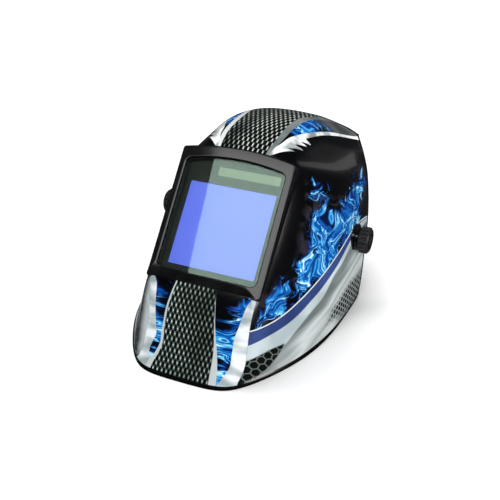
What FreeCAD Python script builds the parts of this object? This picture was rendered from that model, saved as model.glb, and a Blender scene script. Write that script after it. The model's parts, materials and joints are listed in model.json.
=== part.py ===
import FreeCAD, Part
import math
import os

# Auto-darkening welding helmet: moulded shell, filter cartridge and ratchet headgear.
# Every piece is drawn in the worn frame, in millimetres, and stood on its rim at the end.
# Worn frame: origin at the centre of the filter glass, +X to the wearer's left, +Y backward, +Z up.
# Object frame: the shell stands on its flat rim at z = 0, its face looks to -Y.

V3 = FreeCAD.Vector

# Standing pose
LEAN = 41.4                 # degrees that the face leans back when the rim is flat on a surface
GLASS_HEIGHT = 125.0        # centre of the glass above the rim plane
CHIN_TO_GLASS = 106.0       # centre of the glass behind the foremost point of the chin
CHIN_TO_ORIGIN = 167.09     # origin, at the middle of the whole depth, behind the chin

# Shell
SKIN = 2.6
RIM_EXTRA = 3.0             # the skin is drawn this far below the rim plane, then cut flat
BEZEL_FRONT = -12.0         # y of the bezel's front face
BEZEL_HALF = 64.5
BEZEL_BOTTOM = -66.5
BEZEL_CORNER = 80.0
BEZEL_CROWN = 87.0
BEZEL_BACK = 12.0
BAR_SLOPE = 10.0            # how far the lower bar slopes out in the middle
OPENING_HALF = 56.0
OPENING_BOTTOM = -53.0
OPENING_CORNER = 66.0
OPENING_CROWN = 74.0
POCKET_HALF = 60.0
POCKET_BOTTOM = -57.5
POCKET_CORNER = 71.0
POCKET_CROWN = 79.5
FLANGE = 3.5
SCREW_X = 62.4              # the four screws that hold the cartridge holder
SCREW_ZS = (-36.0, 56.0)
SCREW_R = 1.4
BOSS_R = 3.6

# Cover lens
LENS_FRONT = -8.4
LENS_BACK = -6.4
LENS_EASE = 0.6             # gap round the lens and its gasket

# Filter cartridge, 114 x 133 mm as such filters are made
CASE_HALF = 57.0
CASE_BOTTOM = -55.8
CASE_TOP = 77.2
CASE_FRONT = -1.0
CASE_SPLIT = 12.0
CASE_BACK = 20.0
GLASS_HALF_W = 50.0
GLASS_HALF_H = 46.5
WALL = 2.0
CASE_GAP = 0.6              # clearance round the case in the shell's pocket

# Controls, batteries and holder on the back of the cartridge
KNOB_XS = {"shade_knob": -22.0, "sensitivity_knob": 0.0, "delay_knob": 22.0}
CONTROL_Z = 62.0
CONTROL_R = 7.5
CONTROL_FRONT = 20.4
CONTROL_BACK = 25.0
SHAFT_R = 1.55
TRAY_X = 42.0
TRAY_HALF = 11.7
TRAY_Z = 64.0
TRAY_FRONT = 13.7
TRAY_BACK = 18.5
CELL_R = 10.0
BUTTON_XS = {"test_button": -34.0, "grind_button": 34.0}
BUTTON_Z = -51.8
SOLAR = (-22.0, 50.0, 56.5, 66.8)
SENSORS = [(-33.0, 51.6), (29.0, 51.6), (-28.0, -51.8), (28.0, -51.8)]
SENSOR_R = 1.7
HOLDER_FRONT = 12.1
HOLDER_BACK = 15.1
SLEEVE_HALF = 59.4
HOLDER_HALF = 66.3
HOLDER_SHOULDER = 57.5      # height where the holder's top corners are cut away to clear the shell
HOLDER_TOP = 80.8
CLIP_X = 62.4
CLIP_Z = 10.0
CLIP_FRONT = 20.3
CLIP_BACK = 22.3
POST_R = 2.0

# Tilt pivot
PIVOT_Y = 120.0
PIVOT_Z = 44.0
PAD_IN = 111.2
PAD_OUT = 118.4
PAD_R = 17.0                # inside the shell
PAD_R_OUT = 13.5
BOLT_R = 4.0
RUN = 0.06                  # radial running clearance
BUSH_R = 8.0
SPOT_R = 17.0               # flat spot inside the shell that the bush's collar sits on
SPOT_DEPTH = 8.0
TILT_RANGE = 65.0
STOP_R = 13.5
STOP_PIN_R = 2.4
STOP_START = -57.5          # direction of the stop pin from the pivot, shell down
GAP = 0.4                   # clearance between bodies that slide past each other

# Stack on each pivot, x of the faces from the inside out
HEAD_IN = 94.3
HEAD_OUT = 97.0
ARM_IN = 97.3
ARM_OUT = 100.0
SLIDER_IN = 100.3
SLIDER_OUT = 103.0
STOP_IN = 103.2
STOP_OUT = 105.6
SPRING_OUT = 109.8
FLANGE_IN = 110.0
WASHER_OUT = 119.4
KNOB_IN = 119.8
KNOB_OUT = 130.8
BOLT_END = 128.6

# Tension knobs
KNOB_R = 15.6
KNOB_RIBS = 16

# Headgear
BAND_HALF = 74.0
BAND_T = 2.0
BAND_FRONT = 38.0
SIDE_FRONT = 84.0
SIDE_REAR = 168.0
BAND_REAR = 210.0
BROW_LOW = 44.0
BROW_HIGH = 74.0
SIDE_LOW = 45.0
SIDE_HIGH = 67.0
NAPE_Z = 56.0
NAPE_T = 1.8
RIVETS = [(84.0, 56.0), (145.0, 56.0)]      # y and z of the rivets that hold the side arms
RIVET_R = 2.0
ARM_Y = 114.0               # middle of the slot in the side arm
ARM_FLAT = 16.5
ARM_RISE = 8.5
ARM_FOOT = 12.0
SLOT_HALF_H = 5.0
SLIDE_TRAVEL = 12.0         # the shell moves this far forward from its rearmost place
SLIDER_HALF_L = 15.0
SLIDER_HALF_H = 13.0
PAD_T = 5.0                 # soft pads
STRAP_TOP = 122.0
STRAP_BASE = 62.0           # height where the straps start to arch
STRAP_Y = 122.0
STRAP_HALF_W = 11.0
STRAP_T = 1.8
STRAP_END = 18.0            # how far each strap runs past the middle

# Ratchet
MODULE = 0.8
TEETH = 14
PITCH_R = MODULE * TEETH / 2
PRESSURE = math.radians(20)
RACK_TEETH = 15
BACKLASH = 0.16
RATCHET_HALF_W = 34.0
RATCHET_HALF_H = 13.0
RATCHET_FRONT = 208.0
RATCHET_SPLIT = 213.6
RATCHET_BACK = 218.6
RATCHET_KNOB_R = 14.0
RATCHET_KNOB_FRONT = 219.2
RATCHET_KNOB_BACK = 229.6
GEAR_FRONT = 210.4
GEAR_BACK = 212.9
SPINDLE_R = 3.0
SPINDLE_END = 226.0


def box(x0, x1, y0, y1, z0, z1):
    return Part.makeBox(x1 - x0, y1 - y0, z1 - z0, V3(x0, y0, z0))


def rod_x(x0, x1, y, z, r):
    low = min(x0, x1)
    return Part.makeCylinder(r, abs(x1 - x0), V3(low, y, z), V3(1, 0, 0))


def rod_y(y0, y1, x, z, r):
    return Part.makeCylinder(r, y1 - y0, V3(x, y0, z), V3(0, 1, 0))


def fuse(shapes):
    body = shapes[0]
    for other in shapes[1:]:
        body = body.fuse(other)
    return body.removeSplitter()


def cut(body, shapes):
    for other in shapes:
        body = body.cut(other)
    return body


def mirror_x(shape):
    return shape.mirror(V3(0, 0, 0), V3(1, 0, 0))


def prism(points, x0, x1):
    """A polygon of (y, z) points, extruded across the helmet."""
    corners = [V3(x0, y, z) for y, z in points]
    face = Part.Face(Part.makePolygon(corners + corners[:1]))
    return face.extrude(V3(x1 - x0, 0, 0))


def edges_along(shape, axis):
    """The straight edges that run along axis."""
    found = []
    for edge in shape.Edges:
        if len(edge.Vertexes) != 2:
            continue
        run = edge.Vertexes[1].Point - edge.Vertexes[0].Point
        if run.Length > 0 and abs(abs(run.dot(axis)) / run.Length - 1) < 1e-6:
            found.append(edge)
    return found


def plate(x0, x1, y0, y1, z0, z1, radius):
    """A flat plate facing forward, with rounded corners."""
    blank = box(x0, x1, y0, y1, z0, z1)
    return blank.makeFillet(radius, edges_along(blank, V3(0, 1, 0)))


def arched(half, bottom, corner, crown, y0, y1, radius):
    """A forward-facing block whose top edge is an arc from corner to crown height."""
    p = [V3(-half, y0, bottom), V3(half, y0, bottom), V3(half, y0, corner), V3(-half, y0, corner)]
    arch = Part.Arc(p[2], V3(0, y0, crown), p[3]).toShape()
    wire = Part.Wire([Part.makeLine(p[0], p[1]), Part.makeLine(p[1], p[2]), arch, Part.makeLine(p[3], p[0])])
    blank = Part.Face(wire).extrude(V3(0, y1 - y0, 0))
    return blank.makeFillet(radius, edges_along(blank, V3(0, 1, 0)))


# ---------------------------------------------------------------- shell

def rim_row(points):
    """Control points (x, distance behind the chin) just below the flat rim, given in the worn frame."""
    lean = math.radians(LEAN)
    row = []
    for x, back in points:
        y, z = back - CHIN_TO_GLASS, -GLASS_HEIGHT - RIM_EXTRA
        row.append((x, y * math.cos(lean) - z * math.sin(lean), y * math.sin(lean) + z * math.cos(lean)))
    return row


def shell_poles():
    """Left half of the shell's control net: rows from the rim up, each from the middle to the rear edge."""
    return [
        rim_row([(0, -0.6), (25, -0.6), (48, 2.4), (67, 19.6),
                 (88, 53), (112.5, 104.6), (120, 165), (120, 228)]),
        [(0, 2, -148), (25, 1, -148), (50, 0, -146), (65, 12, -138),
         (80, 34, -122), (108, 76, -92), (120, 128, -45), (121, 168, -2)],
        [(0, -4, -124), (24, -5, -124), (51, -4, -123), (65, 4, -118),
         (79, 28, -102), (105, 68, -74), (119, 115, -30), (121, 163, 12)],
        [(0, -17, -98), (24, -17, -98), (52, -14, -97), (66, -4, -94),
         (79, 25, -80), (101, 60, -54), (118, 105, -10), (120, 155, 30)],
        [(0, -25, -66), (26, -25, -66), (54, -22, -65), (67, -5, -62),
         (78, 22, -54), (99, 60, -32), (117, 102, 10), (119, 150, 45)],
        [(0, -20, -25), (26, -18, -25), (53, -12, -24), (67, 1, -22),
         (79, 24, -16), (99, 60, 2), (116, 102, 32), (117, 150, 62)],
        [(0, -13, 30), (26, -12, 30), (53, -8, 30), (67, 3, 32),
         (79, 26, 35), (98, 62, 45), (112, 104, 62), (113, 150, 86)],
        [(0, -10, 84), (26, -9, 83), (50, -5, 80), (66, 7, 78),
         (78, 30, 82), (92, 64, 90), (104, 106, 100), (107, 150, 110)],
        [(0, 6, 112), (26, 7, 111), (44, 9, 105), (56, 18, 100),
         (70, 40, 104), (84, 74, 114), (96, 110, 124), (100, 150, 134)],
        [(0, 33, 144), (27, 35, 143), (47, 39, 134), (58, 44, 127),
         (67, 60, 126), (78, 86, 134), (90, 116, 142), (94, 146, 148)],
        [(0, 82, 175), (27, 83, 174), (48, 85, 168), (62, 89, 160),
         (71, 95, 154), (79, 108, 153), (86, 125, 156), (89, 140, 159)],
        [(0, 135, 190), (17, 135, 190), (34, 135, 188), (49, 135, 184),
         (61, 135, 181), (70, 135, 178), (77, 135, 175), (81, 135, 173)],
    ]


def clamped(count, degree):
    """Knots and multiplicities of a clamped uniform spline with count poles."""
    spans = count - degree
    knots = [i / spans for i in range(spans + 1)]
    mults = [degree + 1] + [1] * (spans - 1) + [degree + 1]
    return knots, mults


def shell_net():
    net = []
    for row in shell_poles():
        right = [V3(-x, y, z) for x, y, z in reversed(row[1:])]
        net.append(right + [V3(*p) for p in row])
    return net


def spline_surface(net):
    knots_u, mults_u = clamped(len(net), 3)
    knots_v, mults_v = clamped(len(net[0]), 3)
    surface = Part.BSplineSurface()
    surface.buildFromPolesMultsKnots(net, mults_u, mults_v, knots_u, knots_v, False, False, 3, 3)
    return surface


def influence(count, degree):
    """The parameter at which each pole of a clamped uniform spline pulls most."""
    knots, mults = clamped(count, degree)
    flat = [k for k, times in zip(knots, mults) for _ in range(times)]
    return [sum(flat[i + 1:i + 1 + degree]) / degree for i in range(count)]


def inset_net(net, depth):
    """The control net moved inward by depth along the surface's own normals."""
    surface = spline_surface(net)
    middle = surface.normal(0.5, 0.5)
    sign = 1 if middle.y > 0 else -1
    moved = []
    for u, row in zip(influence(len(net), 3), net):
        places = influence(len(row), 3)
        moved.append([pole + surface.normal(u, v) * sign * depth for v, pole in zip(places, row)])
    return moved


def ruled_edge(outer, inner, number):
    return Part.makeRuledSurface(outer.Edges[number], inner.Edges[number])


def skin_solid():
    net = shell_net()
    outer = spline_surface(net).toShape()
    inner = spline_surface(inset_net(net, SKIN)).toShape()
    faces = [outer, inner] + [ruled_edge(outer, inner, i) for i in range(4)]
    shell = Part.Shell(faces)
    shell.sewShape()
    solid = Part.Solid(shell)
    if solid.Volume < 0:
        solid.reverse()
    return solid


def above_rim():
    """A large block that lies above the rim plane."""
    block = box(-200, 200, -300, 400, 0, 400)
    block.translate(V3(0, -CHIN_TO_GLASS, -GLASS_HEIGHT))
    block.rotate(V3(0, 0, 0), V3(1, 0, 0), LEAN)
    return block


def bezel_outline(y0, y1):
    return arched(BEZEL_HALF, BEZEL_BOTTOM, BEZEL_CORNER, BEZEL_CROWN, y0, y1, 3.0)


def bezel_block():
    """The raised frame round the opening; its lower bar slopes out to meet the snout."""
    sections = []
    for x, slope in ((-BEZEL_HALF, 1.0), (0, BAR_SLOPE), (BEZEL_HALF, 1.0)):
        corners = [(BEZEL_FRONT, OPENING_BOTTOM + 1), (BEZEL_FRONT - slope, BEZEL_BOTTOM),
                   (BEZEL_BACK, BEZEL_BOTTOM), (BEZEL_BACK, OPENING_BOTTOM + 1)]
        points = [V3(x, y, z) for y, z in corners]
        sections.append(Part.makePolygon(points + points[:1]))
    bar = Part.makeLoft(sections, True, False)
    return fuse([bezel_outline(BEZEL_FRONT, BEZEL_BACK), bar])


def screw_places():
    return [(x, z) for x in (-SCREW_X, SCREW_X) for z in SCREW_ZS]


def make_shell():
    body = skin_solid().common(above_rim())
    tube = bezel_block()
    bosses = [rod_y(5, BEZEL_BACK, x, z, BOSS_R) for x, z in screw_places()]
    pads = []
    for side in (-1, 1):
        pads.append(rod_x(side * PAD_IN, side * (PAD_IN + 3.6), PIVOT_Y, PIVOT_Z, PAD_R))
        pads.append(rod_x(side * PAD_IN, side * PAD_OUT, PIVOT_Y, PIVOT_Z, PAD_R_OUT))
    body = fuse([body.cut(bezel_outline(-60, BEZEL_BACK)), tube] + pads)
    opening = arched(OPENING_HALF, OPENING_BOTTOM, OPENING_CORNER, OPENING_CROWN, -40, 0, 7.0)
    pocket = arched(POCKET_HALF, POCKET_BOTTOM, POCKET_CORNER, POCKET_CROWN, BEZEL_FRONT + FLANGE, 30, 3.0)
    case_pocket = plate(-CASE_HALF - CASE_GAP, CASE_HALF + CASE_GAP, CASE_FRONT - 0.3, 30,
                        CASE_BOTTOM - CASE_GAP, CASE_TOP + CASE_GAP, 2.0)
    spot_faces = [rod_x(side * (PAD_IN - SPOT_DEPTH), side * PAD_IN, PIVOT_Y, PIVOT_Z, SPOT_R)
                  for side in (-1, 1)]
    body = cut(body, [opening, pocket, case_pocket] + spot_faces)
    body = fuse([body] + bosses)
    holes = [rod_y(6, BEZEL_BACK + 1, x, z, SCREW_R) for x, z in screw_places()]
    holes += [rod_x(side * (PAD_IN - 20), side * (PAD_OUT + 20), PIVOT_Y, PIVOT_Z, BUSH_R) for side in (-1, 1)]
    y, z = stop_place()
    holes += [rod_x(side * (PAD_IN - 5), side * (PAD_IN + 3), y, z, STOP_PIN_R) for side in (-1, 1)]
    return cut(body, holes)


def stop_place():
    angle = math.radians(STOP_START)
    return PIVOT_Y + STOP_R * math.cos(angle), PIVOT_Z + STOP_R * math.sin(angle)


# ---------------------------------------------------------------- lenses and cartridge

def pocket_plate(y0, y1):
    """A plate that fills the shell's pocket, less a little ease all round."""
    return arched(POCKET_HALF - LENS_EASE, POCKET_BOTTOM + LENS_EASE, POCKET_CORNER - LENS_EASE,
                  POCKET_CROWN - LENS_EASE, y0, y1, 2.6)


def make_gasket():
    ring = pocket_plate(LENS_BACK + 0.1, CASE_FRONT - 0.3)
    hole = arched(OPENING_HALF + 0.4, OPENING_BOTTOM - 0.4, OPENING_CORNER, OPENING_CROWN + 0.4, -7, 0, 6.0)
    return ring.cut(hole)


def case_blank(y0, y1):
    return plate(-CASE_HALF, CASE_HALF, y0, y1, CASE_BOTTOM, CASE_TOP, 2.5)


def make_case():
    inside = box(-CASE_HALF + WALL, CASE_HALF - WALL, 0.8, CASE_SPLIT + 1, CASE_BOTTOM + WALL, CASE_TOP - WALL)
    window = plate(-GLASS_HALF_W, GLASS_HALF_W, -2, 2, -GLASS_HALF_H, GLASS_HALF_H, 1.5)
    solar = box(SOLAR[0], SOLAR[1], -2, 2, SOLAR[2], SOLAR[3])
    holes = [rod_y(-2, 2, x, z, SENSOR_R + 0.1) for x, z in SENSORS]
    return cut(case_blank(CASE_FRONT, CASE_SPLIT), [inside, window, solar] + holes)


def make_case_back():
    cuts = [plate(-GLASS_HALF_W, GLASS_HALF_W, 11, 21, -GLASS_HALF_H, GLASS_HALF_H, 1.5),
            box(-52.6, 52.6, 18.4, 21, -47.9, 47.9),
            box(-28.5, 28.5, 11, 18.0, 50, CASE_TOP - WALL),
            box(-CASE_HALF + WALL, CASE_HALF - WALL, 11, 18.2, CASE_BOTTOM + 1.2, -48.9)]
    for side in (-1, 1):
        x = side * TRAY_X
        half = TRAY_HALF + GAP
        cuts.append(box(x - half, x + half, TRAY_FRONT - GAP, TRAY_BACK + GAP, 49.5, CASE_TOP + 1))
    cuts += [rod_y(17, 21, x, CONTROL_Z, SHAFT_R + 0.6) for x in KNOB_XS.values()]
    for x in BUTTON_XS.values():
        cuts.append(box(x - 6.4, x + 6.4, 17, 21, BUTTON_Z - 2.2, BUTTON_Z + 2.2))
    return cut(case_blank(CASE_SPLIT, CASE_BACK), cuts)


def make_circuit_board():
    board = box(-54, 54, 4.0, 5.6, 50, 74.5)
    parts = [board]
    for x in KNOB_XS.values():
        pot = rod_y(5.6, 10.5, x, CONTROL_Z, 5.0).cut(rod_y(7, 11, x, CONTROL_Z, SHAFT_R + RUN))
        parts.append(pot)
    for x in (-46, -38, 38, 46):
        parts.append(box(x - 2.5, x + 2.5, 5.6, 7.6, 56, 66))
    return fuse(parts)


def grip(radius, height, ribs, rib_r):
    """A ribbed knob along +Z from 0 to height."""
    core = Part.makeCylinder(radius - 0.8 * rib_r, height)
    shapes = [core.makeChamfer(0.9, core.Edges[:1])]
    for i in range(ribs):
        angle = 2 * math.pi * i / ribs
        reach = radius - rib_r
        place = V3(reach * math.cos(angle), reach * math.sin(angle), 0.6)
        rib = Part.makeCylinder(rib_r, height - 1.8, place)
        shapes.append(rib.makeChamfer(0.5 * rib_r, [rib.Edges[0]]))
    return fuse(shapes)


def turn_to(shape, direction, place):
    """Points a shape that was made along +Z along direction, and moves its base to place."""
    shape = shape.copy()
    shape.Placement = FreeCAD.Placement(place, FreeCAD.Rotation(V3(0, 0, 1), direction))
    return shape


def make_control_knob(x):
    height = CONTROL_BACK - CONTROL_FRONT
    head = grip(CONTROL_R, height, 18, 0.7)
    pointer = box(-0.6, 0.6, 1.5, CONTROL_R - 1.2, height - 0.6, height + 1)
    head = turn_to(head.cut(pointer), V3(0, 1, 0), V3(x, CONTROL_FRONT, CONTROL_Z))
    return fuse([head, rod_y(7.4, 21, x, CONTROL_Z, SHAFT_R)])


def make_button(x):
    cap = plate(x - 6, x + 6, 17.6, 21.6, BUTTON_Z - 1.8, BUTTON_Z + 1.8, 1.0)
    return fuse([cap, box(x - 7.6, x + 7.6, 16.4, 17.8, BUTTON_Z - 2.5, BUTTON_Z + 2.5)])


def make_tray(x):
    tray = box(x - TRAY_HALF, x + TRAY_HALF, TRAY_FRONT, TRAY_BACK, 51, CASE_TOP)
    lip = plate(x - 7, x + 7, TRAY_FRONT, TRAY_BACK, CASE_TOP - 3, CASE_TOP + 2.2, 1.0)
    cell = rod_y(TRAY_FRONT - 1, TRAY_FRONT + 3.8, x, TRAY_Z, CELL_R + 0.2)
    return fuse([tray, lip]).cut(cell)


def make_holder():
    outline = [(-HOLDER_HALF, -61.5), (HOLDER_HALF, -61.5), (HOLDER_HALF, HOLDER_SHOULDER),
               (SLEEVE_HALF, HOLDER_TOP), (-SLEEVE_HALF, HOLDER_TOP), (-HOLDER_HALF, HOLDER_SHOULDER)]
    corners = [V3(x, HOLDER_FRONT, z) for x, z in outline]
    frame = Part.Face(Part.makePolygon(corners + corners[:1])).extrude(V3(0, HOLDER_BACK - HOLDER_FRONT, 0))
    sleeve = plate(-SLEEVE_HALF, SLEEVE_HALF, HOLDER_FRONT, CASE_BACK, CASE_BOTTOM - 2.4, CASE_TOP + 2.4, 3.0)
    body = fuse([frame, sleeve])
    cuts = [plate(-CASE_HALF - 0.4, CASE_HALF + 0.4, 10, 30, CASE_BOTTOM - 0.4, CASE_TOP + 0.4, 2.0)]
    for side in (-1, 1):
        cuts.append(box(side * TRAY_X - 13, side * TRAY_X + 13, 13.0, 30, CASE_TOP, CASE_TOP + 12))
    cuts += [rod_y(10, 20, x, z, 1.7) for x, z in screw_places()]
    body = cut(body, cuts)
    posts = [rod_y(14, CLIP_BACK + 0.4, side * CLIP_X, CLIP_Z, POST_R) for side in (-1, 1)]
    return fuse([body] + posts)


def make_clip():
    hub = rod_y(CLIP_FRONT, CLIP_BACK, CLIP_X, CLIP_Z, 3.9)
    tab = plate(CLIP_X - 11.5, CLIP_X, CLIP_FRONT, CLIP_BACK, CLIP_Z - 3.2, CLIP_Z + 3.2, 1.5)
    return fuse([hub, tab]).cut(rod_y(CLIP_FRONT - 1, CLIP_BACK + 1, CLIP_X, CLIP_Z, POST_R + RUN))


def make_screws():
    screws = []
    for x, z in screw_places():
        head = rod_y(15.2, 17.2, x, z, 2.8).cut(box(x - 3, x + 3, 16.6, 18, z - 0.4, z + 0.4))
        screws.append(fuse([head, rod_y(7, 15.3, x, z, 1.38)]))
    return Part.makeCompound(screws)


def add_lens_group():
    add("cover_lens", pocket_plate(LENS_FRONT, LENS_BACK))
    add("lens_gasket", make_gasket())
    add("cartridge_case", make_case())
    add("cartridge_back", make_case_back())
    add("filter_glass", box(-52, 52, 0.9, 2.9, -48.5, 48.5))
    add("lcd_stack", box(-51, 51, 3.1, 7.0, -47.5, 47.5))
    add("solar_panel", box(SOLAR[0] - 2, SOLAR[1] + 2, 0.9, 2.1, SOLAR[2] - 1.5, SOLAR[3] + 1.5))
    add("arc_sensors", Part.makeCompound([rod_y(-0.7, 0.8, x, z, SENSOR_R) for x, z in SENSORS]))
    add("circuit_board", make_circuit_board())
    add("inner_cover_lens", box(-52.3, 52.3, 18.5, 19.8, -47.6, 47.6))
    for name, x in KNOB_XS.items():
        add(name, make_control_knob(x))
    for name, x in BUTTON_XS.items():
        add(name, make_button(x))
    for side, word in ((1, "left"), (-1, "right")):
        add("battery_tray_" + word, make_tray(side * TRAY_X))
        add("coin_cell_" + word, rod_y(14.0, 17.2, side * TRAY_X, TRAY_Z, CELL_R))
    add("cartridge_holder", make_holder())
    clip = make_clip()
    add("holder_clip_left", clip)
    add("holder_clip_right", mirror_x(clip))
    add("holder_screws", make_screws())


# ---------------------------------------------------------------- tilt pivots

def arc_slot(x0, x1):
    """The slot that the stop pin travels in, over the whole tilt."""
    y, z = stop_place()
    half = STOP_PIN_R + 0.35
    ends = []
    for angle in (1.0, -TILT_RANGE - 1.0):
        hole = rod_x(x0, x1, y, z, half)
        hole.rotate(V3(0, PIVOT_Y, PIVOT_Z), V3(1, 0, 0), angle)
        ends.append(hole)
    ring = rod_x(x0, x1, PIVOT_Y, PIVOT_Z, STOP_R + half).cut(rod_x(x0, x1, PIVOT_Y, PIVOT_Z, STOP_R - half))
    first = math.radians(STOP_START + 1.0)
    last = math.radians(STOP_START - TILT_RANGE - 1.0)
    far = 60
    wedge = prism([(PIVOT_Y, PIVOT_Z), (PIVOT_Y + far * math.cos(first), PIVOT_Z + far * math.sin(first)),
                   (PIVOT_Y + far * math.cos(last), PIVOT_Z + far * math.sin(last))], x0, x1)
    return fuse([ring.common(wedge)] + ends)


def make_bush():
    tube = rod_x(PAD_IN, PAD_OUT, PIVOT_Y, PIVOT_Z, BUSH_R)
    collar = rod_x(FLANGE_IN, PAD_IN, PIVOT_Y, PIVOT_Z, 10.4)
    return fuse([tube, collar]).cut(rod_x(FLANGE_IN - 1, PAD_OUT + 1, PIVOT_Y, PIVOT_Z, BOLT_R + RUN))


def make_slider():
    slide = box(SLIDER_IN, SLIDER_OUT, PIVOT_Y - SLIDER_HALF_L, PIVOT_Y + SLIDER_HALF_L,
                PIVOT_Z - SLIDER_HALF_H, PIVOT_Z + SLIDER_HALF_H)
    slide = slide.makeFillet(4.0, edges_along(slide, V3(1, 0, 0)))
    rib_h = SLOT_HALF_H - GAP / 2
    rib = box(ARM_IN, SLIDER_IN + 1, PIVOT_Y - 8, PIVOT_Y + 8, PIVOT_Z - rib_h, PIVOT_Z + rib_h)
    return fuse([slide, rib]).cut(rod_x(ARM_IN - 1, SLIDER_OUT + 1, PIVOT_Y, PIVOT_Z, BOLT_R))


def make_stop_plate():
    disc = rod_x(STOP_IN, STOP_OUT, PIVOT_Y, PIVOT_Z, 19.0)
    tab = box(STOP_IN, STOP_OUT, PIVOT_Y - 4, PIVOT_Y + 4, PIVOT_Z, PIVOT_Z + 24)
    return cut(fuse([disc, tab]), [rod_x(STOP_IN - 1, STOP_OUT + 1, PIVOT_Y, PIVOT_Z, BOLT_R),
                                   arc_slot(STOP_IN - 1, STOP_OUT + 1)])


def make_bolt():
    head = rod_x(HEAD_IN, HEAD_OUT, PIVOT_Y, PIVOT_Z, 8.5)
    return fuse([head, rod_x(HEAD_OUT, BOLT_END, PIVOT_Y, PIVOT_Z, BOLT_R)])


def make_spring_washer():
    """A cone washer that presses the shell against its knob."""
    cone = Part.makeCone(10.2, 6.4, SPRING_OUT - STOP_OUT - 0.4)
    inner = Part.makeCone(9.0, 5.2, SPRING_OUT - STOP_OUT - 0.4)
    washer = fuse([cone.cut(inner), Part.makeCylinder(10.2, 0.8).cut(Part.makeCylinder(8.4, 0.8))])
    rim = Part.makeCylinder(6.4, 1.0, V3(0, 0, SPRING_OUT - STOP_OUT - 1.4)).cut(Part.makeCylinder(4.3, 9))
    washer = fuse([washer, rim])
    return turn_to(washer, V3(1, 0, 0), V3(STOP_OUT + 0.2, PIVOT_Y, PIVOT_Z))


def make_knob_washer():
    disc = rod_x(PAD_OUT + 0.3, WASHER_OUT, PIVOT_Y, PIVOT_Z, 12.5)
    return disc.cut(rod_x(PAD_OUT, WASHER_OUT + 1, PIVOT_Y, PIVOT_Z, BOLT_R + 0.1))


def make_tension_knob():
    depth = KNOB_OUT - KNOB_IN
    knob = grip(KNOB_R, depth, KNOB_RIBS, 1.9)
    dish = Part.makeCylinder(9.6, 1.2).cut(Part.makeCylinder(6.6, 1.2))
    dish.translate(V3(0, 0, depth - 1.2))
    bore = Part.makeCylinder(BOLT_R + RUN, BOLT_END + 0.4 - KNOB_IN)
    return turn_to(cut(knob, [dish, bore]), V3(1, 0, 0), V3(KNOB_IN, PIVOT_Y, PIVOT_Z))


def make_stop_pin():
    y, z = stop_place()
    return rod_x(STOP_IN + 0.4, PAD_IN + 3, y, z, STOP_PIN_R)


def add_pivots():
    pieces = {
        "pivot_bush": make_bush(),
        "pivot_slider": make_slider(),
        "tilt_stop_plate": make_stop_plate(),
        "tilt_stop_pin": make_stop_pin(),
        "pivot_bolt": make_bolt(),
        "spring_washer": make_spring_washer(),
        "knob_washer": make_knob_washer(),
        "tension_knob": make_tension_knob(),
    }
    for name, shape in pieces.items():
        add(name + "_left", shape)
        add(name + "_right", mirror_x(shape))


# ---------------------------------------------------------------- headgear

def band_outline(inset, z0, z1):
    """The head's plan, shrunk by inset, as a solid between two heights."""
    half = BAND_HALF - inset
    front = Part.Ellipse(V3(half, SIDE_FRONT, z0), V3(0, BAND_FRONT + inset, z0), V3(0, SIDE_FRONT, z0))
    rear = Part.Ellipse(V3(-half, SIDE_REAR, z0), V3(0, BAND_REAR - inset, z0), V3(0, SIDE_REAR, z0))
    wire = Part.Wire([Part.ArcOfEllipse(front, 0, math.pi).toShape(),
                      Part.makeLine(V3(-half, SIDE_FRONT, z0), V3(-half, SIDE_REAR, z0)),
                      Part.ArcOfEllipse(rear, 0, math.pi).toShape(),
                      Part.makeLine(V3(half, SIDE_REAR, z0), V3(half, SIDE_FRONT, z0))])
    return Part.Face(wire).extrude(V3(0, 0, z1 - z0))


def band_ring(inset, thick, z0=20, z1=100):
    return band_outline(inset, z0, z1).cut(band_outline(inset + thick, z0 - 1, z1 + 1))


def make_headband():
    side = [(20, BROW_LOW), (66, BROW_LOW), (92, SIDE_LOW), (170, SIDE_LOW), (170, SIDE_HIGH),
            (100, SIDE_HIGH), (72, BROW_HIGH), (20, BROW_HIGH)]
    band = band_ring(0, BAND_T).common(prism(side, -90, 90))
    holes = []
    for x in (-24, 0, 24):
        holes.append(plate(x - 7, x + 7, 30, 60, 57, 62, 2.4))
    holes += [rod_x(-90, 90, y, z, RIVET_R) for y, z in RIVETS]
    return cut(band, holes)


def make_nape_band():
    side = [(112, 48), (165, 46.5), (225, 45.5), (225, 66.5), (165, 65.5), (112, 64)]
    band = band_ring(BAND_T + GAP, NAPE_T).common(prism(side, -90, 90))
    slots = [box(-90, 90, y, y + 2, NAPE_Z - 4, NAPE_Z + 4) for y in range(118, 160, 6)]
    return cut(band, slots)


def make_guide():
    outer = box(67.2, 75.8, 159, 167, SIDE_LOW - 1.6, SIDE_HIGH + 1.6)
    inner = box(68.7, 74.05, 150, 175, SIDE_LOW - 0.05, SIDE_HIGH + 0.05)
    return outer.cut(inner)


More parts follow.
